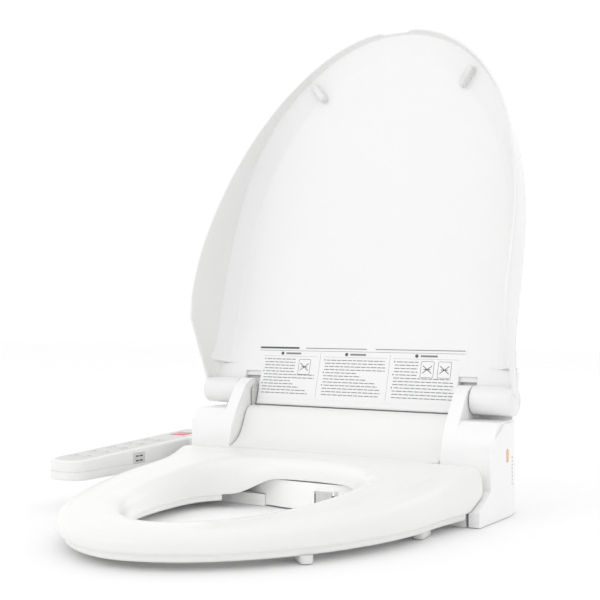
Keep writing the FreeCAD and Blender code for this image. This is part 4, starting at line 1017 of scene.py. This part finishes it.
def hinge_ears():
    """The seat's ears inside the fins, coloured mid-grey: painted shade in the slits beside the fins."""
    piece = Piece()
    for side in (-1, 1):
        low, high = sorted((side * 137.2, side * 140.3))
        outline = [(6.0, 106), (5.6, PIVOT_Z)]
        outline += arc((PIVOT_Y, PIVOT_Z), 6.4, [math.pi * (1 - i / 12) for i in range(1, 12)])
        outline += [(18.4, PIVOT_Z), (9.0, 106)]
        piece.prism(outline, low, high, axis="X", edge=0.5)
    piece.done("seat_ears", "seat", "dark_plastic", "seat_hinge_ears", materials=[FLAP_GREY_AND_SLIT_SHADE])


housing_shell()
side_covers()
hinge_ears()


# ---------------- nozzle bay

NOZZLE_X = 24.0
NOZZLE_SLOPE = math.tan(math.radians(20.0))
WINDOW_Z = 11.0
BAY_FACE = [(-100, -66), (-70, -81), (-35, -90), (8, -93.5), (50, -90), (82, -81), (104, -68)]


def bay_outline(shrink):
    """Smooth front of the bay, closed along the housing."""
    points = []
    for step in range(49):
        x = -100 + 204 * step / 48
        points.append((x * (1 - shrink * 0.012), along(BAY_FACE, x) + shrink))
    return points + [(104 - 1.2 * shrink, -54.5 + shrink), (-100 + 1.2 * shrink, -54.5 + shrink)]


def nozzle_bay():
    """Convex cover under the rear of the seat, with the nose round the nozzle window."""
    nose_left = NOZZLE_X - 14
    nose_right = NOZZLE_X + 14
    nose = [(-96, 1.5), (-96, 25), (-62, 32), (-56, 32), (-56, 1.5)]
    way = [(-99, WINDOW_Z - 7.2 - 3 * NOZZLE_SLOPE), (-99, WINDOW_Z + 7 - 3 * NOZZLE_SLOPE),
           (-50, WINDOW_Z + 7 + 46 * NOZZLE_SLOPE), (-50, WINDOW_Z - 7.2 + 46 * NOZZLE_SLOPE)]
    skirt = [(-61.8, -84), (-35, -90), (8, -93.5), (50, -90), (67.8, -84), (67.8, -81.5),
             (50, -87.5), (8, -91), (-35, -87.5), (-61.8, -81.5)]
    steps = [(CUT, plan(bay_outline(2.5), 10, 30.8)),
             (JOIN, plan(skirt, 1.5, 14.5)),
             (JOIN, slab(nose, nose_left, nose_right)),
             (CUT, slab(way, nose_left + 4, nose_right - 4))]
    for left in (nose_left, nose_right - 2.2):
        steps.append((JOIN, block((left, -99.4, 21.5), (left + 2.2, -95, 25))))
    made = plan(bay_outline(0), 14.0, 33.0).carved(*steps).done(
        "bay_cover", "housing", "housing_white", "nozzle_bay_cover", materials=[WHITE_TRAY], smooth=30)
    soften(made, 0.8)
    # Near-black ring just behind the flap: painted shadow round the flap, not a part of its own.
    shadow_ring = slab(oblong(26, 23, 0, (NOZZLE_X, 13.0), 1.5), -96.5, -95.5, "Y").carved(
        (CUT, slab(oblong(19.6, 17, 0, (NOZZLE_X, 11.5), 1.0), -97, -95, "Y")))
    shadow_ring.done("window_painted_shadow", "housing", "dark_plastic", materials=[SHADOW_PLASTIC], smooth=30)
    flap = Piece()
    flap.prism(oblong(21, 19.6, 0, (NOZZLE_X, 13.3), 1.4), -98.5, -96.6, axis="Y", edge=0.4, low_edge=0.5)
    flap.prism(oblong(12, 3.0, 0, (NOZZLE_X, 9.0), 1.2), -98.8, -98.3, axis="Y", low_edge=0.2)
    flap.rod(1.3, (NOZZLE_X - 10.5, -97.6, 23.5), (NOZZLE_X + 10.5, -97.6, 23.5), 24, 0.3)
    flap.rod(0.75, (NOZZLE_X - 12.6, -97.6, 23.5), (NOZZLE_X + 12.6, -97.6, 23.5), 16, 0.2)
    flap.done("window_flap", "shutter", "shutter_grey", "nozzle_shutter", materials=[FLAP_GREY_AND_SLIT_SHADE])


nozzle_bay()


# ---------------- control arm

ARM_OUTER = -270.0
ARM_INNER = -218.0
ARM_FRONT = -241.0
ARM_REAR = 42.0
ARM_LOW = 33.5
ARM_SPLIT = 44.0
ARM_RISE = math.tan(math.radians(2.63))
ARM_MIDDLE = 0.5 * (ARM_OUTER + ARM_INNER)
ARM_NECK = rectangle(-220, -205.4, -24, 30)  # joins the arm to the housing
FIRST_KEY_Y = -203.0
KEY_PITCH = 34.0
KEY_SHIFT = 9.6  # of each row from the arm's middle
FLAT_TOP = 60.0  # level at which the arm's top is built before it is tilted


def arm_top(y):
    """Height of the arm's top."""
    return 56.5 + (y - ARM_FRONT) * ARM_RISE


def arm_outline(shrink):
    """Plan of the arm with its round front."""
    left, right = ARM_OUTER + shrink, ARM_INNER - shrink
    front, rear = ARM_FRONT + shrink, ARM_REAR - shrink
    return fillet([(left, front, 24 - shrink), (right, front, 24 - shrink), (right, rear, 9),
                   (left, rear, 9)], 9, 12)


def sloped(piece, split=ARM_SPLIT):
    """Tilts everything above a level to the arm's top."""
    for vert in piece.mesh.verts:
        x, y, z = vert.co / MM
        if z > split:
            vert.co.z = MM * (split + (z - split) * (arm_top(y) - split) / (FLAT_TOP - split))


def control_arm():
    """Arm body, its darker top panel, window and red strip."""
    tray = Piece().prism(arm_outline(0), ARM_LOW, ARM_SPLIT - 0.15, edge=0.25, low_edge=3.0, steps=5)
    tray.prism(ARM_NECK, 36.0, ARM_SPLIT - 0.35, edge=0.5, low_edge=1.0)
    tray.done("arm_tray", "housing", "arm_white", "arm_lower_case", materials=[WHITE_ARM])
    case = Piece().prism(arm_outline(0.2), ARM_SPLIT, FLAT_TOP, edge=3.0, low_edge=0.25, steps=6)
    sloped(case, ARM_SPLIT + 0.5)
    case.prism(ARM_NECK, ARM_SPLIT, 65.8, edge=1.6, low_edge=0.4)
    panel = Piece().prism(arm_outline(4.6), 59.0, 60.12, edge=0.3, low_edge=0, material=1)
    sloped(panel)
    data = panel.data("panel")
    case.mesh.from_mesh(data)
    bpy.data.meshes.remove(data)
    case.done("arm_case", "housing", "arm_white", "arm_top_case", materials=[WHITE_ARM, ARM_PANEL])
    # Grey core showing through the hairline gap between the arm's halves: painted shade in the seam.
    core = Piece().prism(arm_outline(1.2), ARM_SPLIT - 1.5, ARM_SPLIT + 1.5)
    core.done("arm_seam", "housing", "dark_plastic", materials=[SEAM_SHADOW])
    light = Piece()
    light.prism(oblong(24, 25.8, 0, (ARM_MIDDLE, -4.2), 3.0), 58.5, 60.25, edge=0.4, low_edge=0)
    sloped(light)
    light.done("indicator_strip", "housing", "red_strip", "arm_indicator_strip", materials=[RED])
    window = Piece()
    window.prism(oblong(23, 14, 0, (-126.5, 50), 2.0), -220.0, -217.8, axis="X", edge=0.5, low_edge=0)
    for level in (47.0, 52.5):
        for start in (-133.5, -126.0):
            window.prism(oblong(6.0, 1.6, 0, (start + 3.0, level)), -218.2, -217.75, axis="X",
                         material=1)
    window.done("receiver_window", "housing", "smoked_window", "arm_side_window",
                materials=[SMOKED, SHADOW_PLASTIC])


def mark_ring(piece, radius, width, at, low, high):
    """Flat ring."""
    outer = circle(radius, at, 24)
    inner = circle(radius - width, at, 24)
    rows = [[(x, y, low) for x, y in outer], [(x, y, high) for x, y in outer],
            [(x, y, high) for x, y in inner], [(x, y, low) for x, y in inner]]
    piece.grid(rows, closed=True, material=1)


def key_mark(piece, kind, x, y, low, high):
    """Small abstract mark on a key."""
    def bar(long, wide, rise=0.0, turn=0):
        outline = oblong(long, wide, turn, (x, y + rise))
        piece.prism(outline, low, high, material=1)

    if kind == 0:
        mark_ring(piece, 3.4, 0.6, (x, y), low, high)
    elif kind == 1:
        for rise in (-2.4, 0, 2.4):
            bar(6.4, 0.7, rise)
    elif kind == 2:
        bar(7, 0.8, turn=45)
        mark_ring(piece, 2.0, 0.6, (x, y), low, high)
    elif kind == 3:
        for step in (-2.2, 2.2):
            piece.prism(circle(1.0, (x + step, y), 16), low, high, material=1)
        bar(6.4, 0.7, 3)
    else:
        bar(0.8, 6.4)
        bar(6.4, 0.8)


def keys():
    """Two rows of five keys."""
    for row, shift in (("outer", -KEY_SHIFT), ("inner", KEY_SHIFT)):
        for number in range(1, 6):
            x = ARM_MIDDLE + shift
            y = FIRST_KEY_Y + KEY_PITCH * (number - 1)
            piece = Piece().prism(oblong(15, 20, 0, (x, y), 3.0), 58.2, 60.5, edge=0.6, low_edge=0, steps=4)
            kind = (number + (2 if row == "inner" else 0)) % 5
            key_mark(piece, kind, x, y + 1.5, 60.45, 60.56)
            piece.prism(oblong(8.0, 0.6, 0, (x, y - 6.0)), 60.45, 60.56, material=1)
            sloped(piece)
            piece.done("cap_%s_%d" % (row, number), "key_%s_%d_body" % (row, number), "key_white",
                       "key_%s_%d" % (row, number), materials=[KEY_WHITE, MARK_GREY])


control_arm()
keys()


# ---------------- parts shown as built

for names, material in (
        (("base_plate", "rear_panel"), WHITE_HOUSING),
        (("mounting_bracket",), WHITE_TRAY),
        (("lid_hinge_pin", "seat_hinge_pin", "fan_motor"), STEEL),
        (("lid_damper", "seat_damper", "air_duct", "fan_housing",
          "filter_cassette", "water_pump"), SHADOW_PLASTIC),
        (("nozzle_motor", "cover_screws"), ZINC),
        (("nozzle_tube", "nozzle_tip"), NOZZLE_WHITE),
        (("nozzle_rail", "nozzle_pinion", "fan_rotor", "water_tank"), WHITE_TRAY),
        (("water_inlet", "solenoid_valve"), BRASS),
        (("seat_heater", "heater_element"), AMBER),
        (("arm_board", "control_board"), BOARD),
        (("cord_gland",), BLACK_RUBBER)):
    for label in names:
        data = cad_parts[label].data
        data.materials.clear()
        data.materials.append(material)


# ---------------- floor, light and camera


def studio_floor():
    """Pale floor just below the seat."""
    floor = Piece()
    floor.grid([[(-6000, -6000, -0.4), (6000, -6000, -0.4)], [(-6000, 6000, -0.4), (6000, 6000, -0.4)]])
    data = floor.data("studio_floor")
    look = Look("floor_paper")
    look.colour(look.noise(3.0, 4.0), (0.955, 0.955, 0.955), (0.97, 0.97, 0.97))
    look.shader.inputs["Roughness"].default_value = 0.9
    data.materials.append(look.material)
    linked("studio_floor", data)


def studio_light():
    """White surroundings, a little dimmer on the right, and soft lamps."""
    world = bpy.data.worlds.new("studio")
    scene.world = world
    world.use_nodes = True
    tree = world.node_tree
    sky = tree.nodes["Background"].inputs
    sky["Color"].default_value = (1.0, 1.0, 1.0, 1)
    ray = add_node(tree, "ShaderNodeTexCoord").outputs["Generated"]
    facing = add_node(tree, "ShaderNodeVectorMath", {1: (0.93, -0.36, 0.0)}, {0: ray},
                      operation="DOT_PRODUCT").outputs["Value"]
    fall = add_node(tree, "ShaderNodeMapRange",
                    {"From Min": -0.25, "From Max": 0.85, "To Min": 1.07, "To Max": 0.92},
                    {"Value": facing}, interpolation_type="SMOOTHSTEP")
    tree.links.new(fall.outputs["Result"], sky["Strength"])
    lights = [("key", (-0.9, -2.2, 1.9), (0, -0.15, 0.2), 1.6, 4.5),
              ("fill", (2.4, -1.3, 1.2), (0, -0.15, 0.2), 1.8, 0.8),
              ("rear", (0.4, 2.2, 1.8), (0, 0.0, 0.3), 1.6, 3),
              ("bowl", (0, -0.33, 0.03), (0, -0.09, 0.02), 0.12, 0.06)]
    for name, place, aim, size, power in lights:
        lamp = bpy.data.lights.new(name, "AREA")
        lamp.size = size
        lamp.energy = power
        holder = linked(name, lamp)
        holder.location = place
        look = Vector(aim) - Vector(place)
        holder.rotation_euler = look.to_track_quat("-Z", "Y").to_euler()
        holder.visible_camera = False


def camera():
    """The camera: in front, to the right and nearly level."""
    view = bpy.data.cameras.new("camera")
    view.lens = 70.4
    view.sensor_width = 36.0
    view.shift_x = 0.10
    view.shift_y = 0.005
    view.clip_start = 0.05
    holder = linked("camera", view)
    holder.location = (0.6768, -1.2554, 0.2266)
    holder.rotation_euler = Euler((math.radians(90.5), 0, math.radians(33.5)), "XYZ")
    scene.camera = holder
    scene.view_settings.view_transform = "Standard"


studio_floor()
studio_light()
camera()
bpy.context.view_layer.update()
